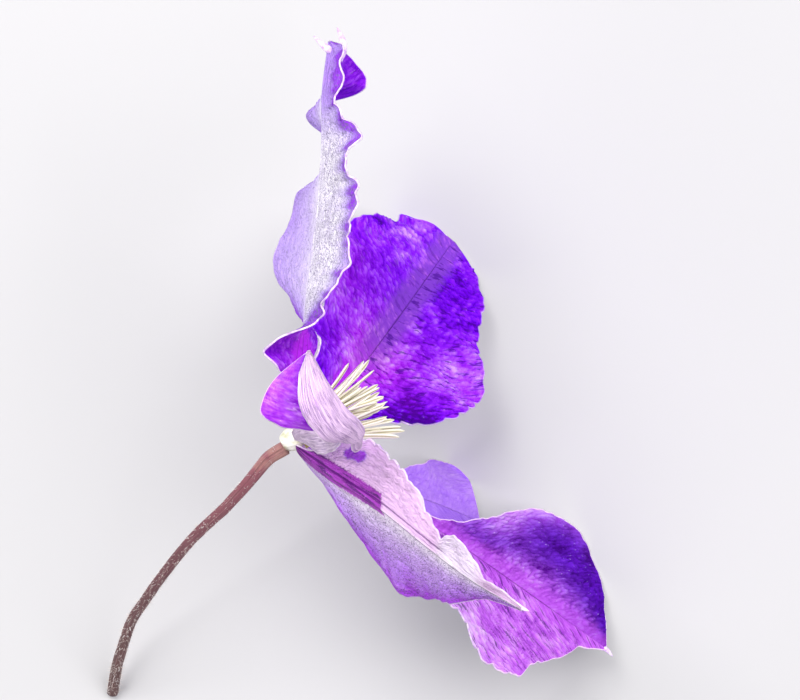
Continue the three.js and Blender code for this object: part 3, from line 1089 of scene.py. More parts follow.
    def relief(self, run: np.ndarray, offset: np.ndarray, brim: np.ndarray) -> np.ndarray:
        """Works out the quilting, soft folds and the grooves of the main veins.

        Args:
            run: Distance along the spine.
            offset: Distance from the spine on the surface.
            brim: Distance from the margin.

        Returns:
            How far each point rises towards the inner face.
        """
        side = np.abs(offset)
        flow, reach = self.flow(run, offset)
        calm = ease(side, 0.6, 2.6) * ease(brim, 0.0, 1.0) * ease(run, 3.0, 11.0)
        height = self.quilt * 0.5 * self.puffs(run, offset) * calm
        height += self.soft_folds * hills(flow / 3.6, reach / 8.0, self.seed + 7) * ease(side, 1.0, 6.0)
        fade = 1 - 0.6 * run / self.length
        height -= self.groove * fade * np.exp(-((offset / self.groove_width) ** 2)) * ease(run, 0.5, 4.0)
        lateral = 0.55 + 0.9 * np.sin(np.pi * np.clip(run / self.length, 0, 1)) ** 0.7
        beside = np.exp(-(((side - lateral) / self.beside_width) ** 2))
        height -= 0.6 * self.groove * fade * beside * ease(run, 2.0, 8.0)
        return height

    def flow(self, run: np.ndarray, offset: np.ndarray) -> tuple[np.ndarray, np.ndarray]:
        """Bends coordinates along the side veins, which leave the middle at a slant.

        Args:
            run: Distance along the spine.
            offset: Distance from the spine on the surface.

        Returns:
            Where a vein left the spine, and how far out it has come.
        """
        side = np.abs(offset)
        slant = np.where(offset < 0, self.away.slant, self.near.slant)
        sway = self.vein_sway * hills(run / 9, offset / 7, self.seed + 90)
        apart = 40 * (offset < 0)
        return run - slant * side - self.vein_bend * side**2 + sway + 200, side + apart

    def build(self) -> bpy.types.Object:
        """Models the tepal.

        Returns:
            The finished piece, which stands for its node.
        """
        rows, columns = self.size()
        deselect()
        bpy.ops.mesh.primitive_grid_add(x_subdivisions=rows, y_subdivisions=columns, size=2)
        piece = bpy.context.object
        label(piece, self.node + "_blade")
        grid = corners(piece)
        row = np.rint((grid[:, 0] + 1) / 2 * rows).astype(int)
        column = np.rint((grid[:, 1] + 1) / 2 * columns).astype(int)
        u, v = np.linspace(0, 1, rows + 1), np.linspace(-1, 1, columns + 1)
        points, offset, brim = self.middle(u, v)
        run = np.broadcast_to((u * self.length)[:, None], offset.shape)
        normal = unit(np.cross(np.gradient(points, axis=0), np.gradient(points, axis=1)))
        points = points + self.relief(run, offset, brim)[:, :, None] * normal
        seat = (1 - ease(run, 0.0, self.seat_reach))[:, :, None]
        points = points - self.seat_depth * seat * unit(points)
        world = points + ROOT
        world[:, :, 2] = np.maximum(world[:, :, 2], self.thickness / 2 + self.clearance)
        settle(piece, world[row, column] * MM)
        flow, reach = self.flow(run, offset)
        note(piece, "sheet", np.stack([run, offset, brim], axis=-1)[row, column])
        note(piece, "veins", np.stack([flow, reach, self.puffs(run, offset)], axis=-1)[row, column])
        note(piece, "wash", self.wash(u, v)[row, column])
        note(piece, "marks", self.marks(u, v)[row, column])
        shell = piece.modifiers.new("two_faces", "SOLIDIFY")
        shell.thickness = self.thickness * MM
        shell.offset = 0
        shell.use_quality_normals = True
        shell.material_offset = 1
        shell.material_offset_rim = 2
        dress(piece, self.inner.make(), self.outer.make(), edge_material())
        finish_modifiers(piece)
        bpy.ops.object.shade_smooth()
        self.add_horns(piece)
        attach(piece, "root")
        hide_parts(self.node)
        LOG.info("%s: %d faces", piece.name, len(piece.data.polygons))
        return piece

    def wash(self, u: np.ndarray, v: np.ndarray) -> np.ndarray:
        """Works out how light and how warm the inner face is, and how tinted the outer face is.

        Args:
            u: Shares of the length, one for each row.
            v: Shares of the width from -1 at the away margin to 1 at the near one.

        Returns:
            A vector by row and column, which the materials read.
        """
        mixed = np.zeros((len(u), len(v), 3))
        for side in Side:
            half = self.half(side)
            share = ease(side.value * v, -0.05, 0.05)[None, :]
            far = np.abs(v)
            light = np.repeat(keyed(half.light, u)[:, None], len(v), axis=1)
            heart = np.repeat(keyed(half.heart, u)[:, None], len(v), axis=1)
            tint = keyed(half.tint, u)[:, None] * keyed(half.tint_fan, far)[None, :]
            # Painted shade: violet blotches near the margin stand for the shade in the hollows of the ruffled
            # margin.
            shade = wander(u * self.length, 1.7, 13.5, self.own_seed(side))
            tint += half.margin_shade * np.maximum(shade[:, None] + 0.25, 0) * far[None, :] ** 4
            for patch in half.patches:
                cover = patch.cover(u, far)
                light += patch.light * cover
                heart += patch.heart * cover
                tint += patch.tint * cover
            mixed += share[:, :, None] * np.stack([light, np.clip(heart, 0, 1), tint], axis=-1)
        return mixed

    def marks(self, u: np.ndarray, v: np.ndarray) -> np.ndarray:
        """Works out how thickly the outer face carries painted shadows of its down, and how pink it is.

        Args:
            u: Shares of the length, one for each row.
            v: Shares of the width from -1 at the away margin to 1 at the near one.

        Returns:
            A vector by row and column, which the outer finish reads.
        """
        share = ease(v, -0.05, 0.05)[None, :]
        down_shadowed, pink = (
            share * keyed(near, u)[:, None] + (1 - share) * keyed(away, u)[:, None]
            for near, away in ((self.near.down_shadows, self.away.down_shadows), (self.near.blush, self.away.blush))
        )
        return np.stack([down_shadowed, pink, np.zeros_like(pink)], axis=-1)

    def add_horns(self, piece: bpy.types.Object) -> None:
        """Models the pale points at the tip and joins them to the sheet.

        Args:
            piece: The sheet.
        """
        tubes = [horn.build() for horn in self.horns]
        take(piece)
        for tube in tubes:
            tube.select_set(True)
        if tubes:
            bpy.ops.object.join()
        deselect()


# ---- threads, knob and stalk ---------------------------------------------------------------


def draws(seed: int) -> Iterator[float]:
    """Yields the same run of numbers from 0 to 1 for a seed.

    Args:
        seed: Where the run starts.

    Yields:
        The next number.
    """
    factor, limit = 16807, 2147483647
    state = seed
    while True:
        state = (state * factor) % limit
        yield state / limit


@dataclass(frozen=True)
class Ring:
    """A ring of stamens, by number, distance from the axis, lean in degrees and length."""

    count: int
    radius: float
    lean: float
    length: float


def thread_path(angle: float, radius: float, foot: float, lean: float, length: float, bow: float,
                steps: int) -> np.ndarray:
    """Runs a thread from the bloom's axis outwards with a slight bend.

    Args:
        angle: Where round the axis it starts.
        radius: How far from the axis it starts.
        foot: How far along the axis it starts.
        lean: Its slant in degrees.
        length: Its length.
        bow: How far it bends sideways, as a share of its length.
        steps: Points less one.

    Returns:
        The points, in millimetres from the receptacle.
    """
    outward = UPWARD * np.cos(angle) + FAR * np.sin(angle)
    sideways = np.cross(AXIS, outward)
    t = np.linspace(0, 1, steps + 1)
    slope = np.radians(lean) * (0.55 + 0.45 * t)
    return (
        np.outer(foot + length * t * np.cos(slope), AXIS)
        + np.outer(radius + length * t * np.sin(slope), outward)
        + np.outer(bow * t * t * length, sideways)
    )


def copy_along(template: bpy.types.Object, points: np.ndarray, thread: np.ndarray) -> bpy.types.Object:
    """Copies a straight thread and moves the copy's vertices on to its own path.

    Args:
        template: The straight thread.
        points: Where the vertices go, in millimetres from the receptacle.
        thread: What the finish reads at each vertex.

    Returns:
        The copy.
    """
    copy = template.copy()
    copy.data = template.data.copy()
    bpy.context.collection.objects.link(copy)
    settle(copy, (points + ROOT) * MM)
    note(copy, "thread", thread)
    return copy


def gather(copies: list[bpy.types.Object], name: str, material: bpy.types.Material) -> bpy.types.Object:
    """Joins copies to one smooth piece.

    Args:
        copies: The objects to join.
        name: The piece's name.
        material: The piece's only material.

    Returns:
        The joined piece.
    """
    take(copies[0])
    for copy in copies:
        copy.select_set(True)
    bpy.ops.object.join()
    piece = bpy.context.object
    label(piece, name)
    dress(piece, material)
    bpy.ops.object.shade_smooth()
    return piece


@dataclass
class Stamens:
    """The stamens in their rings, as flat grooved straps on thinner stems."""

    rings: tuple[Ring, ...] = (Ring(12, 1.0, 5, 12.8), Ring(15, 1.45, 12, 13.4), Ring(18, 1.9, 19, 13.8))
    foot: float = 1.7
    sunk: float = 0.85
    lean_range: float = 7.0
    shortest: float = 0.76
    length_range: float = 0.28
    bow_range: float = 0.34
    half_width: float = 0.36
    spread: Keys = ((0, 0.62), (0.3, 0.7), (0.42, 1.05), (0.9, 1.0), (0.97, 0.72), (1, 0.2))
    depth: Keys = ((0, 0.45), (0.3, 0.34), (0.42, 0.6), (0.9, 0.56), (0.97, 0.4), (1, 0.12))
    seed: int = 20177
    sides: int = 16
    steps: int = 26
    finish: Cream = Cream("stamen_cream")

    def strap(self, at: np.ndarray, path: np.ndarray, tilt: float) -> np.ndarray:
        """Lays a straight tube along a path as a flat strap with a groove down each face.

        Args:
            at: The straight tube's vertices.
            path: Points of the path, one for each ring of the tube.
            tilt: How far the strap is turned round its path, in radians.

        Returns:
            The places of the vertices.
        """
        ring = rings_of(at, path)
        upright = abs(np.dot(unit(path[-1] - path[0]), UPWARD)) >= 0.9
        first, second = carry(path, AXIS if upright else UPWARD)
        t = at[:, 2]
        around, far = polar(at)
        groove = 1 - 0.34 * np.abs(np.sin(around)) ** 6 * ease(t, 0.36, 0.46) * (1 - ease(t, 0.9, 0.98))
        x = self.half_width * keyed(self.spread, t) * np.cos(around) * far
        y = self.half_width * keyed(self.depth, t) * np.sin(around) * far * groove
        turned = np.cos(tilt) * first[ring] + np.sin(tilt) * second[ring]
        other = -np.sin(tilt) * first[ring] + np.cos(tilt) * second[ring]
        return path[ring] + x[:, None] * turned + y[:, None] * other

    def build(self) -> bpy.types.Object:
        """Models one strap, then lays a copy along each stamen's path.

        Returns:
            The finished piece, which stands for its node.
        """
        template = straight_tube("stamen", self.sides, self.steps)
        at = corners(template)
        around, far = polar(at)
        face = np.sin(around) * (far > 0.5)
        draw = draws(self.seed)
        made = []
        for ring in self.rings:
            for i in range(ring.count):
                angle = 2 * np.pi * (i + 0.5 * (next(draw) - 0.5)) / ring.count + ring.radius
                lean = ring.lean + self.lean_range * (next(draw) - 0.5)
                length = ring.length * (self.shortest + self.length_range * next(draw)) + self.sunk
                bow = self.bow_range * (next(draw) - 0.5)
                path = thread_path(angle, ring.radius, self.foot, lean, length, bow, self.steps)
                tilt = 1.3 * np.sin(9.7 * i + ring.radius)
                thread = np.stack([at[:, 2], face, np.full(len(at), float(len(made)))], axis=-1)
                made.append(copy_along(template, self.strap(at, path, tilt), thread))
        bpy.data.objects.remove(template)
        piece = gather(made, "stamens_fine", self.finish.make())
        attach(piece, "root")
        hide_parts("stamens")
        LOG.info("%s: %d stamens", piece.name, len(made))
        return piece


@dataclass
class Pistil:
    """The tuft of styles among the stamens."""

    styles: int = 7
    foot: float = 2.6
    bow: float = 0.03
    girth: Keys = ((0, 0.5), (0.2, 0.46), (0.45, 0.28), (0.9, 0.26), (1, 0.1))
    sides: int = 10
    steps: int = 16
    finish: Cream = Cream("pistil_green", cream=srgb(226, 230, 170), foot=srgb(178, 190, 104))

    def build(self) -> bpy.types.Object:
        """Models one style, then lays a copy along each path.

        Returns:
            The finished piece, which stands for its node.
        """
        template = straight_tube("style", self.sides, self.steps)
        at = corners(template)
        girth = keyed(self.girth, at[:, 2])
        made = []
        for i in range(self.styles + 1):
            middle = i == self.styles
            angle, radius = 2 * np.pi * i / self.styles, 0.0 if middle else 0.12
            lean, length = (0.5, 8.2) if middle else (3, 7.4)
            path = thread_path(angle, radius, self.foot, lean, length, self.bow, self.steps)
            points = along_path(at, path, UPWARD, at[:, 0] * girth, at[:, 1] * girth)
            thread = np.stack([at[:, 2], np.zeros(len(at)), np.full(len(at), float(i))], axis=-1)
            made.append(copy_along(template, points, thread))
        bpy.data.objects.remove(template)
        piece = gather(made, "pistil_fine", self.finish.make())
        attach(piece, "root")
        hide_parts("pistil")
        LOG.info("%s: %d styles", piece.name, len(made))
        return piece


@dataclass
class Receptacle:
    """The knob that the stalk swells into."""

    profile: Keys = ((0.0, 0.0), (0.05, 0.95), (0.24, 1.45), (0.48, 1.75), (0.7, 1.7), (0.88, 1.5),
                     (0.97, 1.3), (1.0, 0.4))
    start: float = -1.5
    length: float = 3.5
    ribs: int = 12
    rib_height: float = 0.035
    bumps: float = 0.05
    sides: int = 40
    steps: int = 36
    finish: Mottled = KNOB_SKIN

    def build(self) -> bpy.types.Object:
        """Models the knob as a tube that swells along the bloom's axis.

        Returns:
            The finished piece, which stands for its node.
        """
        piece = straight_tube("receptacle_fine", self.sides, self.steps)
        at = corners(piece)
        around, far = polar(at)
        radius = keyed(self.profile, at[:, 2]) * far * (1 + self.rib_height * np.cos(self.ribs * around))
        radius = radius + self.bumps * hills(around * 3, at[:, 2] * 8, 5) * far
        place = np.outer(self.start + self.length * at[:, 2], AXIS)
        place += (radius * np.cos(around))[:, None] * UPWARD
        place += (radius * np.sin(around))[:, None] * np.cross(AXIS, UPWARD)
        settle(piece, (place + ROOT) * MM)
        dress(piece, self.finish.make())
        take(piece)
        bpy.ops.object.shade_smooth()
        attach(piece, "root")
        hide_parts("receptacle")
        LOG.info("%s", piece.name)
        return piece


@dataclass
class Stalk:
    """The cut stalk with its ribs and hairs."""

    line: Points = (
        (-1.3, -1.5, 0), (-3.4, -2.9, -0.8), (-5.9, -5.9, -2.6), (-10, -10.4, -6.2),
        (-13.8, -13.9, -10), (-16.7, -17, -14), (-20.4, -21.6, -19), (-23.3, -25.6, -24),
        (-25.6, -28.9, -28.5), (-27.3, -33.2, -33), (-28.6, -37, -37), (-29.6, -41.4, -41.884),
    )
    girth: Keys = ((0, 1.12), (0.12, 0.945), (0.45, 0.82), (0.8, 0.853), (1, 0.92))
    sunk: float = 0.7
    ribs: int = 6
    rib_height: float = 0.035
    bumps: float = 0.05
    sides: int = 28
    steps: int = 220
    hairs: int = 1500
    hair_radius: float = 0.032
    hair_length: tuple[float, float] = (0.35, 0.65)
    hair_slant: float = 0.6
    hair_crowding: float = 0.72
    hair_seed: int = 31
    finish: Skin = Skin()
    fuzz: Mottled = WHITE_HAIR

    def path(self) -> np.ndarray:
        """Runs the middle of the stalk."""
        q, _ = evenly(self.line, np.linspace(0, 1, self.steps + 1))
        return spline(self.line, q)

    def build(self) -> bpy.types.Object:
        """Models the stalk and its hairs.

        Returns:
            The finished piece, which stands for its node.
        """
        piece = straight_tube("stalk_fine", self.sides, self.steps)
        at = corners(piece)
        path = self.path()
        path[0] += self.sunk * unit(path[0] - path[3])
        around, far = polar(at)
        ribbed = 1 + self.rib_height * np.cos(self.ribs * around + 2 * at[:, 2])
        radius = keyed(self.girth, at[:, 2]) * ribbed
        radius = (radius + self.bumps * hills(around * 1.6 + 40, at[:, 2] * 26, 8)) * far
        world = along_path(at, path, FAR, radius * np.cos(around), radius * np.sin(around)) + ROOT
        world[:, 2] = np.maximum(world[:, 2], GROUND_GAP)
        settle(piece, world * MM)
        note(piece, "thread", np.stack([at[:, 2], around, far], axis=-1))
        dress(piece, self.finish.make())
        take(piece)
        bpy.ops.object.shade_smooth()
        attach(piece, "root")
        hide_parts("stalk")
        self.add_hairs(path)
        LOG.info("%s with %d hairs", piece.name, self.hairs)
        return piece

    def add_hairs(self, path: np.ndarray) -> None:
        """Models one hair and copies it over the stalk, closer together towards the cut.

        Args:
            path: The middle of the stalk, in millimetres from the receptacle.
        """
        first, second = carry(path, FAR)
        deselect()
        bpy.ops.mesh.primitive_cone_add(vertices=3, radius1=1, radius2=0, depth=1)
        piece = bpy.context.object
        label(piece, "stalk_hairs")
        cone = corners(piece)
        faces = [tuple(polygon.vertices) for polygon in piece.data.polygons]
        rng = np.random.default_rng(self.hair_seed)
        share = rng.random(self.hairs) ** self.hair_crowding
        ring = np.clip((share * self.steps).astype(int), 2, self.steps - 2)
        around = rng.random(self.hairs) * 2 * np.pi
        outward = np.cos(around)[:, None] * first[ring] + np.sin(around)[:, None] * second[ring]
        foot = path[ring] + keyed(self.girth, share)[:, None] * outward * 0.97
        lean = unit(outward + self.hair_slant * rng.normal(size=outward.shape))
        side = unit(np.cross(lean, rng.normal(size=outward.shape)))
        other = np.cross(lean, side)
        shortest, more = self.hair_length
        long = (shortest + more * rng.random(self.hairs) ** 2)[:, None, None]
        x, y, z = (cone[None, :, k : k + 1] for k in range(3))
        place = foot[:, None] + x * self.hair_radius * side[:, None] + y * self.hair_radius * other[:, None]
        place = place + (z + 0.5) * long * lean[:, None]
        world = place.reshape(-1, 3) + ROOT
        lowest = world.reshape(self.hairs, -1, 3)[:, :, 2].min(axis=1)
        keep = np.repeat(lowest > GROUND_GAP, len(cone))
        numbers = np.cumsum(keep) - 1
        every = []
        for i in range(self.hairs):
            if keep[i * len(cone)]:
                every += [tuple(int(numbers[i * len(cone) + corner]) for corner in face) for face in faces]
        mesh = bpy.data.meshes.new("stalk_hairs")
        mesh.from_pydata((world[keep] * MM).tolist(), [], every)
        piece.data = mesh
        dress(piece, self.fuzz.make())
        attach(piece, "root")


# ---- studio --------------------------------------------------------------------------------


@dataclass
class Studio:
    """A pale floor, soft lights and a camera that looks straight down."""

    aim: tuple[float, float] = (16.5, 13.5)
    light_aim: tuple[float, float, float] = (16.5, 8.0, 0.0)
    distance: float = 600.0
    lens: float = 180.0
    floor_size: float = 6.0

    def build(self) -> None:
        """Sets up the floor, the camera, the lights and the world."""
        self.floor()
        self.camera()
        self.light("key_light", (-240, 330, 620), 420, 4.7, (1.0, 0.98, 0.98))
        self.light("fill_light", (330, 90, 560), 500, 3.1, (1.0, 0.97, 1.0))
        self.light("low_light", (-380, -260, 260), 300, 0.6, (1.0, 0.97, 0.95))
        world = bpy.data.worlds.new("studio")
        bpy.context.scene.world = world
        world.use_nodes = True
        sky = world.node_tree.nodes["Background"]
        sky.inputs["Color"].default_value = (0.92, 0.94, 1.0, 1.0)
        sky.inputs["Strength"].default_value = 0.38
        view = bpy.context.scene.view_settings
        view.view_transform = "Standard"
        view.look = "None"

    def floor(self) -> None:
        """Lays the floor."""
        deselect()
        bpy.ops.mesh.primitive_plane_add(size=self.floor_size)
        floor = bpy.context.object
        floor.name = "floor"
        dress(floor, Paper().make())

    def camera(self) -> None:
        """Hangs the camera over the bloom."""
        data = bpy.data.cameras.new("camera")
        data.lens = self.lens
        data.sensor_width = 36.0
        data.clip_start, data.clip_end = 0.05, 10.0
        camera = bpy.data.objects.new("camera", data)
        bpy.context.collection.objects.link(camera)
        x, y = ROOT[0] + self.aim[0], ROOT[1] + self.aim[1]
        camera.location = (x * MM, y * MM, (ROOT[2] + self.distance) * MM)
        bpy.context.scene.camera = camera

    def light(self, name: str, place: tuple[float, float, float], size: float, power: float,
              colour: tuple[float, float, float]) -> None:
        """Hangs a square soft light that faces the bloom.

        Args:
            name: The light's name.
            place: Where it hangs, in millimetres from the receptacle.
            size: The length of its side in millimetres.
            power: Watts.
            colour: Its colour.
        """
        data = bpy.data.lights.new(name, "AREA")
        data.size = size * MM
        data.energy = power
        data.color = colour
        light = bpy.data.objects.new(name, data)
        bpy.context.collection.objects.link(light)
        spot = Vector((ROOT + np.array(place)) * MM)
        light.location = spot
        target = Vector((ROOT + np.array(self.light_aim)) * MM)
        light.rotation_euler = (target - spot).to_track_quat("-Z", "Y").to_euler()


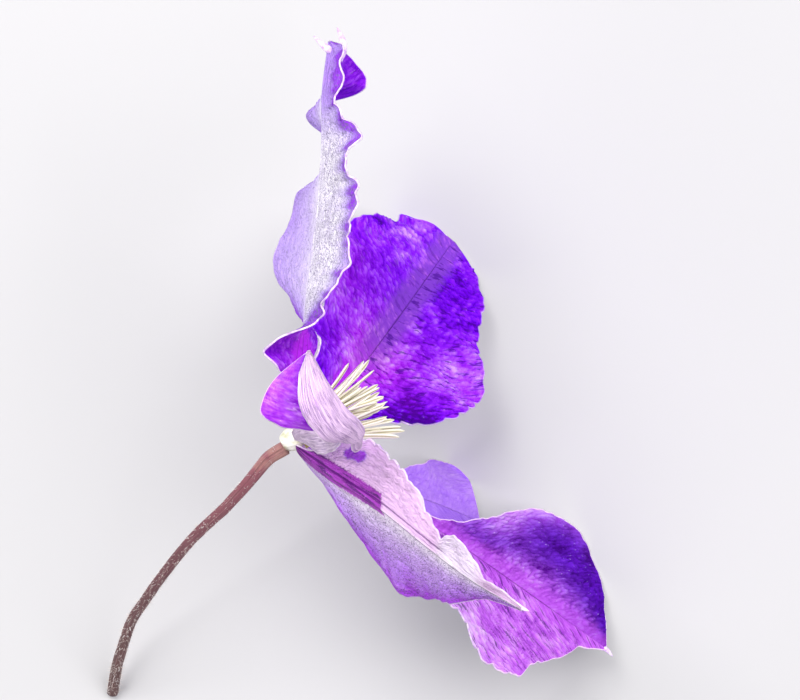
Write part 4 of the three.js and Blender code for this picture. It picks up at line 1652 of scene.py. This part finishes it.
TEPALS = (
    Tepal(
        node="tepal_upper", sag=0.0, seed=3,
        spine=((0.3, 2.6, 1.0), (1.6, 10, 2.5), (2.6, 20, 3.5), (4.0, 32, 3.5), (4.9, 43, 2.5),
               (5.0, 52, 1.5), (5.9, 59.8, 0)),
        roll=((0, -30), (0.12, -40), (0.18, -42), (0.28, 6), (0.4, 19), (0.75, 18), (1, 5)),
        near=Half(
            width=((0, 0.9), (0.06, 2.2), (0.12, 4.6), (0.2, 8.4), (0.3, 12), (0.4, 15.9), (0.55, 16.4),
                   (0.62, 14.8), (0.7, 12.3), (0.8, 8), (0.87, 5.6), (0.93, 5.2), (0.975, 4.2), (1, 0.3)),
            fold=((0, 0), (0.3, -4), (0.45, -1), (0.62, 3), (0.82, 6), (0.9, 22), (0.96, 36), (1, 36)),
            curl=((0, 4),), wave=(0.9, 7, 0.15),
            # The blotches near the margin are painted shade, for the hollows between the ruffled lobes.
            slant=0.5, frill=1.1, scallop=(1.4, 17, 0.2), down_shadows=((0, 1), (0.75, 1), (0.85, 0.4)), margin_shade=2.6,
            tint=((0, 1.2), (0.2, 1.0), (0.27, 0.3), (0.31, 0.05), (0.7, 0.05), (0.78, 0.4), (0.84, 0.7),
                  (1, 0.7)),
            heart=((0, 0.3), (1, 0.2)),
            patches=(Patch(0.52, 1.0, 0.3, 0.2, tint=0.7), Patch(0.27, 0.9, 0.06, 0.4, tint=1.2)),
        ),
        away=Half(
            width=((0, 0.9), (0.06, 1.4), (0.12, 2.2), (0.2, 4.4), (0.28, 11.5), (0.4, 16), (0.58, 16.5),
                   (0.68, 13), (0.82, 9), (0.86, 7.4), (0.93, 7.2), (0.97, 4.4), (1, 0.3)),
            fold=((0, 0), (0.55, 2), (0.63, 4), (0.68, 22), (0.76, 22), (0.83, -8), (0.87, 10),
                  (0.91, 55), (0.96, 60), (1, 60)),
            curl=((0, -8), (0.6, -6), (0.82, 0), (0.9, 25), (0.96, 0), (1, 0)), wave=(0.5, 4, 0),
            slant=0.5, frill=0.4, down_shadows=((0, 0.4), (1, 0.4)),
            # Past the base, this far half is tinted lavender much more than the near half: painted shade, for
            # the half that lies turned from the light.
            tint=((0, 1.5), (0.24, 1.5), (0.29, 0.8), (0.35, 0.55), (0.8, 0.6), (0.9, 0.95), (1, 0.7)),
            tint_fan=((0, 0.3), (0.25, 0.7), (0.6, 0.95), (1, 1.15)),
        ),
        inner=Velvet("upper_inner", deep=srgb(104, 4, 204), body=srgb(142, 32, 228),
                     light=srgb(170, 84, 242)),
        outer=Down("upper_outer", white=srgb(252, 248, 255), strong=srgb(150, 62, 226),
                   vein=srgb(168, 140, 214), down_shadow=srgb(142, 130, 168), down_shadow_share=0.75,
                   down_shadow_place=0.84),
        horns=(Horn((7.7, 56.6, 2.6), (8.0, 59.4, 1.6), (7.1, 61.8, 0.8), 0.6),
               Horn((6.6, 58.0, 0.9), (5.3, 58.9, 0.8), (3.6, 60.5, 0.4), 0.6)),
    ),
    Tepal(
        node="tepal_far_upper", sag=0.226, seed=11,
        spine=((0.9, 1.6, -2.3), (6.6, 5.8, -10.5), (13, 14.3, -21), (19.3, 23, -31), (25, 31, -42)),
        roll=((0, 0), (0.4, -25), (1, -30)),
        near=Half(
            width=((0, 0.9), (0.06, 1.6), (0.14, 4.1), (0.25, 8.3), (0.4, 10.8), (0.55, 13.2),
                   (0.66, 15.2), (0.78, 15), (0.86, 13.2), (0.915, 11.6), (0.96, 9.6), (0.98, 6.4), (1, 0.4)),
            fold=((0, 8), (1, -5)), curl=((0, 10), (1, -10)), wave=(0.9, 5, 0), frill=0.9,
            sweep=((0, 0), (0.88, 0), (0.94, 0.7), (0.97, 2.0), (0.985, 2.1), (1, 0)),
            notches=((0.905, -0.7, 0.012), (0.945, 0.9, 0.012), (0.964, -0.6, 0.006), (0.974, 0.6, 0.004)),
            slant=0.38, teeth=0.45,
            patches=(Patch(0.92, 0.5, 0.14, 0.5, light=0.22),
                     Patch(0.66, 0.75, 0.14, 0.3, light=-0.02, heart=0.2),
                     Patch(0.5, 0.9, 0.14, 0.4, light=0.05, heart=0.3),
                     Patch(0.868, 0.9, 0.016, 0.25, light=-0.3), Patch(0.9, 0.85, 0.02, 0.25, light=0.14),
                     Patch(0.4, 0.0, 0.16, 0.5, light=0.08, heart=0.95)),
        ),
        away=Half(
            width=((0, 0.9), (0.06, 1.4), (0.14, 3), (0.22, 6), (0.3, 10.3), (0.4, 15.2), (0.5, 17.4),
                   (0.59, 18.1), (0.66, 15.3), (0.75, 12.4), (0.88, 9.2), (0.96, 6.6), (1, 0.4)),
            fold=((0, 8), (1, 0)), curl=((0, 10), (1, 0)), wave=(0.7, 5, 0),
            slant=0.25, teeth=0.3, scallop=(0.5, 19, 0.3),
            patches=(Patch(0.8, 0.6, 0.12, 0.5, light=-0.16), Patch(0.36, 0.85, 0.1, 0.35, light=-0.42),
                     Patch(0.56, 0.85, 0.13, 0.35, light=0.2, heart=0.3),
                     Patch(0.4, 0.0, 0.16, 0.5, light=0.08, heart=0.95)),
        ),
        inner=Velvet("far_upper_inner", contrast=1.15, nerve_share=0.03, glints=0.12, dashes=0.4,
                     away_dashes=0.75, rim=0.4),
        outer=Down("far_upper_outer"), groove=0.015, quilt=0.55,
    ),
    Tepal(
        node="tepal_lower", sag=3.268, seed=23,
        spine=((2.2, -1.8, -0.8), (11.5, -7.4, -8.3), (22.7, -14.6, -17.3), (35.2, -23.6, -26),
               (49.2, -34, -32.5)),
        roll=((0, 5), (0.4, 32), (1, 36)),
        near=Half(
            width=((0, 0.9), (0.06, 1.1), (0.15, 1.4), (0.4, 1.6), (0.5, 3.8), (0.58, 7.6), (0.65, 12),
                   (0.72, 15.4), (0.79, 17), (0.87, 15.2), (0.93, 12), (0.97, 6.5), (1, 0.4)),
            fold=((0, 5), (1, 0)), wave=(0.5, 4, 0), slant=0.8,
            heart=((0, 0.8), (0.4, 0.7), (0.6, 0.1), (1, 0.02)), light=((0, 0.1), (0.5, -0.12), (1, -0.16)),
            patches=(Patch(0.63, 0.85, 0.08, 0.3, light=0.2, heart=0.5),
                     Patch(0.72, 1.0, 0.12, 0.14, light=0.26, heart=0.4),
                     Patch(0.72, 0.1, 0.3, 0.25, light=0.08, heart=0.75)),
        ),
        # The away half is warm and pale all along (its heart and light keys and its pale patch): painted
        # light, for the half that faces the light more, while the near half stays deep violet as the shaded
        # side.
        away=Half(
            width=((0, 0.9), (0.06, 1.6), (0.15, 4), (0.3, 8.2), (0.5, 10.6), (0.58, 13), (0.65, 16),
                   (0.74, 16.2), (0.8, 12.8), (0.86, 8.8), (0.92, 3.8), (0.97, 1.4), (1, 0.4)),
            fold=((0, 5), (1, 0)), wave=(0.5, 4, 0), slant=1.4, teeth=0.4, scallop=(0.7, 16, 0),
            heart=((0, 0.9), (1, 0.95)), light=((0, 0.0), (0.4, -0.02), (0.7, -0.04), (1, -0.06)),
            patches=(Patch(0.55, 0.95, 0.16, 0.35, light=0.26),),
            notches=((0.777, -0.9, 0.012), (0.797, 0.5, 0.006), (0.737, -0.4, 0.02), (0.925, 0.4, 0.012)),
        ),
        inner=Velvet("lower_inner", dark=srgb(52, 0, 110), deep=srgb(70, 0, 156), body=srgb(88, 0, 192),
                     light=srgb(124, 22, 226), pale=srgb(176, 88, 250), heart_deep=srgb(122, 24, 176),
                     heart=srgb(204, 106, 242), heart_light=srgb(228, 160, 252),
                     heart_pale=srgb(244, 212, 255), band=srgb(190, 84, 232), band_share=0.45,
                     dashes=0.12, away_dashes=0.7, nerve_share=0.06,
                     glints=0.3, rim=1.0),
        outer=Down("lower_outer"), groove=0.02, quilt=0.6,
        horns=(Horn((48.7, -33.7, -35.6), (49.5, -34.3, -35.8), (50.3, -35.2, -35.9), 0.42),),
    ),
    Tepal(
        node="tepal_far_lower", sag=-1.235, seed=37,
        spine=((1.7, -0.6, -2.5), (10, -4.9, -13.5), (17.3, -8.6, -24.2), (23.8, -11.4, -32.5),
               (29.3, -14, -38)),
        roll=((0, -10), (1, 8)),
        near=Half(
            width=((0, 0.9), (0.06, 1.3), (0.2, 1.8), (0.45, 2.8), (0.6, 4.9), (0.75, 7.2), (0.86, 10.4),
                   (0.93, 11.8), (0.965, 10.2), (0.985, 7), (1, 0.4)),
            wave=(0.5, 3, 0), light=((0, 0.05), (1, 0.12)),
            sweep=((0, 0), (0.8, 0), (0.92, 1.3), (0.97, 1.8), (0.985, 1.2), (1, 0)),
        ),
        away=Half(
            width=((0, 0.9), (0.06, 1), (0.2, 1.3), (0.4, 2.6), (0.6, 5), (0.75, 6.4), (0.88, 6),
                   (0.96, 4), (1, 0.4)),
            wave=(0.5, 3, 0),
        ),
        inner=Velvet("far_lower_inner", dark=srgb(134, 76, 220), deep=srgb(156, 98, 238),
                     body=srgb(182, 128, 250), light=srgb(202, 156, 254), pale=srgb(222, 190, 255),
                     band=srgb(176, 130, 240), contrast=0.6, dashes=0.15, glints=0.1, band_share=0.3,
                     nerve_share=0.02),
        outer=Down("far_lower_outer"), quilt=0.2, groove=0.02,
    ),
    Tepal(
        node="tepal_near_lower", sag=0.0, seed=51,
        spine=((1.5, -1.8, 1.7), (6.6, -5.2, 8.5), (13.7, -9.6, 15.5), (21, -15.2, 22), (27, -19.4, 27.5),
               (33.8, -23.2, 32.5)),
        roll=((0, -10), (1, -10)),
        near=Half(
            width=((0, 0.9), (0.03, 1.8), (0.06, 2.7), (0.14, 4.5), (0.2, 6.8), (0.26, 11.4), (0.33, 16.2),
                   (0.44, 17.9), (0.52, 16.8), (0.6, 13.5), (0.7, 9), (0.8, 5), (0.88, 2.2), (1, 0.4)),
            wave=(0.5, 4, 0), frill=0.3, teeth=0.25, down_shadows=((0, 0.7), (0.3, 0.9), (1, 1.0)), margin_shade=0.5,
            tint=((0, 0.35), (0.2, 0.5), (0.4, 0.6), (1, 0.6)),
            tint_fan=((0, 0.0), (0.12, 0.25), (0.4, 0.75), (0.8, 1.1), (0.93, 1.5), (1, 2.1)),
        ),
        away=Half(
            width=((0, 0.9), (0.06, 1.6), (0.13, 3.6), (0.22, 6.4), (0.3, 8.2), (0.42, 8.1), (0.5, 6.9),
                   (0.58, 4.2), (0.64, 3.2), (0.72, 4), (0.79, 3.2), (0.86, 1.5), (1, 0.4)),
            fold=((0, 10), (0.25, 30), (0.6, 30), (1, 20)), wave=(0.4, 4, 0),
            notches=((0.655, 0.9, 0.012), (0.715, -0.7, 0.03), (0.85, 0.5, 0.02), (0.93, -0.3, 0.03)),
            tint=((0, 0.12), (1, 0.12)),
            blush=((0, 0.3), (0.2, 0.9), (0.63, 0.9), (0.68, 0.1), (0.8, 0.1), (0.88, 0.9), (1, 0.9)),
            down_shadows=((0, 1.2), (0.14, 0.8), (0.25, 0.1), (1, 0.05)),
            scallop=(0.5, 18, 0),
            # The two purple patches are painted shadow: the shade that falls on this half under the rolled
            # flap of tepal_near_upper.
            patches=(Patch(0.24, 0.72, 0.025, 0.12, tint=1.7), Patch(0.272, 0.66, 0.025, 0.1, tint=1.6)),
        ),
        inner=Velvet("near_lower_inner"),
        outer=Down("near_lower_outer", white=srgb(255, 248, 255), blush=srgb(244, 200, 248),
                   tint=srgb(196, 136, 248), strong=srgb(176, 76, 232), vein=srgb(206, 160, 226),
                   down_shadow=srgb(84, 50, 124), down_shadow_share=0.65, down_shadow_place=0.87,
                   bar=srgb(170, 50, 192), bar_reach=20.4),
        horns=(Horn((33.2, -22.8, 32.0), (34.0, -23.2, 32.5), (34.8, -23.5, 32.8), 0.3),),
    ),
    Tepal(
        node="tepal_near_upper", sag=0.0, seed=67,
        spine=((0.9, 0.9, 2.7), (3.8, 1.3, 10), (7.9, 1.3, 18), (11.0, 1.4, 25.4), (10.8, 3.0, 30),
               (8.5, 5.5, 32.8), (6, 9.2, 34), (3.6, 13.4, 33.6)),
        roll=((0, 0), (0.25, -10), (0.4, -50), (0.55, -130), (0.65, -125), (0.8, -105), (1, -90)),
        near=Half(
            width=((0, 0.9), (0.06, 1.7), (0.16, 3.3), (0.3, 2.8), (0.42, 1.8), (0.58, 2.0), (0.7, 4.4),
                   (0.78, 7.2), (0.85, 9.8), (0.9, 10.4), (0.94, 9), (0.98, 5.5), (1, 0.3)),
            wave=(0.3, 3, 0), tint=((0, 0.0), (0.3, 0.0), (0.5, 0.3), (1, 0.3)), heart=((0, 0.3), (1, 0.35)),
            frill=0.15, teeth=0.2, light=((0, 0.0), (1, 0.05)),
        ),
        away=Half(
            width=((0, 0.9), (0.06, 1.6), (0.16, 2.4), (0.3, 1.9), (0.42, 1.3), (0.5, 2.1), (0.6, 3.6),
                   (0.68, 4.6), (0.76, 6.2), (0.82, 7), (0.88, 6.2), (0.94, 3.8), (1, 0.3)),
            fold=((0, 0), (0.35, 0), (0.55, 60), (0.65, 85), (1, 95)),
            curl=((0, 0), (0.35, 20), (0.5, 50), (0.65, 105), (1, 90)), wave=(0.3, 4, 0),
            frill=0.15, teeth=0.2, notches=((0.6, 0.8, 0.02),), down_shadows=((0, 0.4), (0.3, 0.1)),
            tint=((0, 0.0), (0.3, 0.0), (0.5, 0.1), (1, 0.1)), blush=((0, 0.0), (0.4, 0.7), (1, 0.9)),
        ),
        inner=Velvet("near_upper_inner", dark=srgb(96, 14, 166), deep=srgb(130, 36, 206),
                     body=srgb(164, 70, 238), light=srgb(200, 122, 248), pale=srgb(232, 180, 255),
                     band_share=0.3, glints=0.7),
        outer=Down("near_upper_outer", white=srgb(246, 222, 252), down_shadow_share=0.1,
                   blush=srgb(244, 208, 248), vein=srgb(164, 100, 206), vein_share=0.55,
                   veins_across=36.0),
        quilt=0.16,
    ),
)


def main() -> None:
    """Builds every piece round the frame."""
    logging.basicConfig(level=logging.INFO, format="%(name)s: %(message)s")
    Studio().build()
    Stalk().build()
    Receptacle().build()
    Pistil().build()
    Stamens().build()
    for tepal in TEPALS:
        tepal.build()


if __name__ == "__main__":
    main()
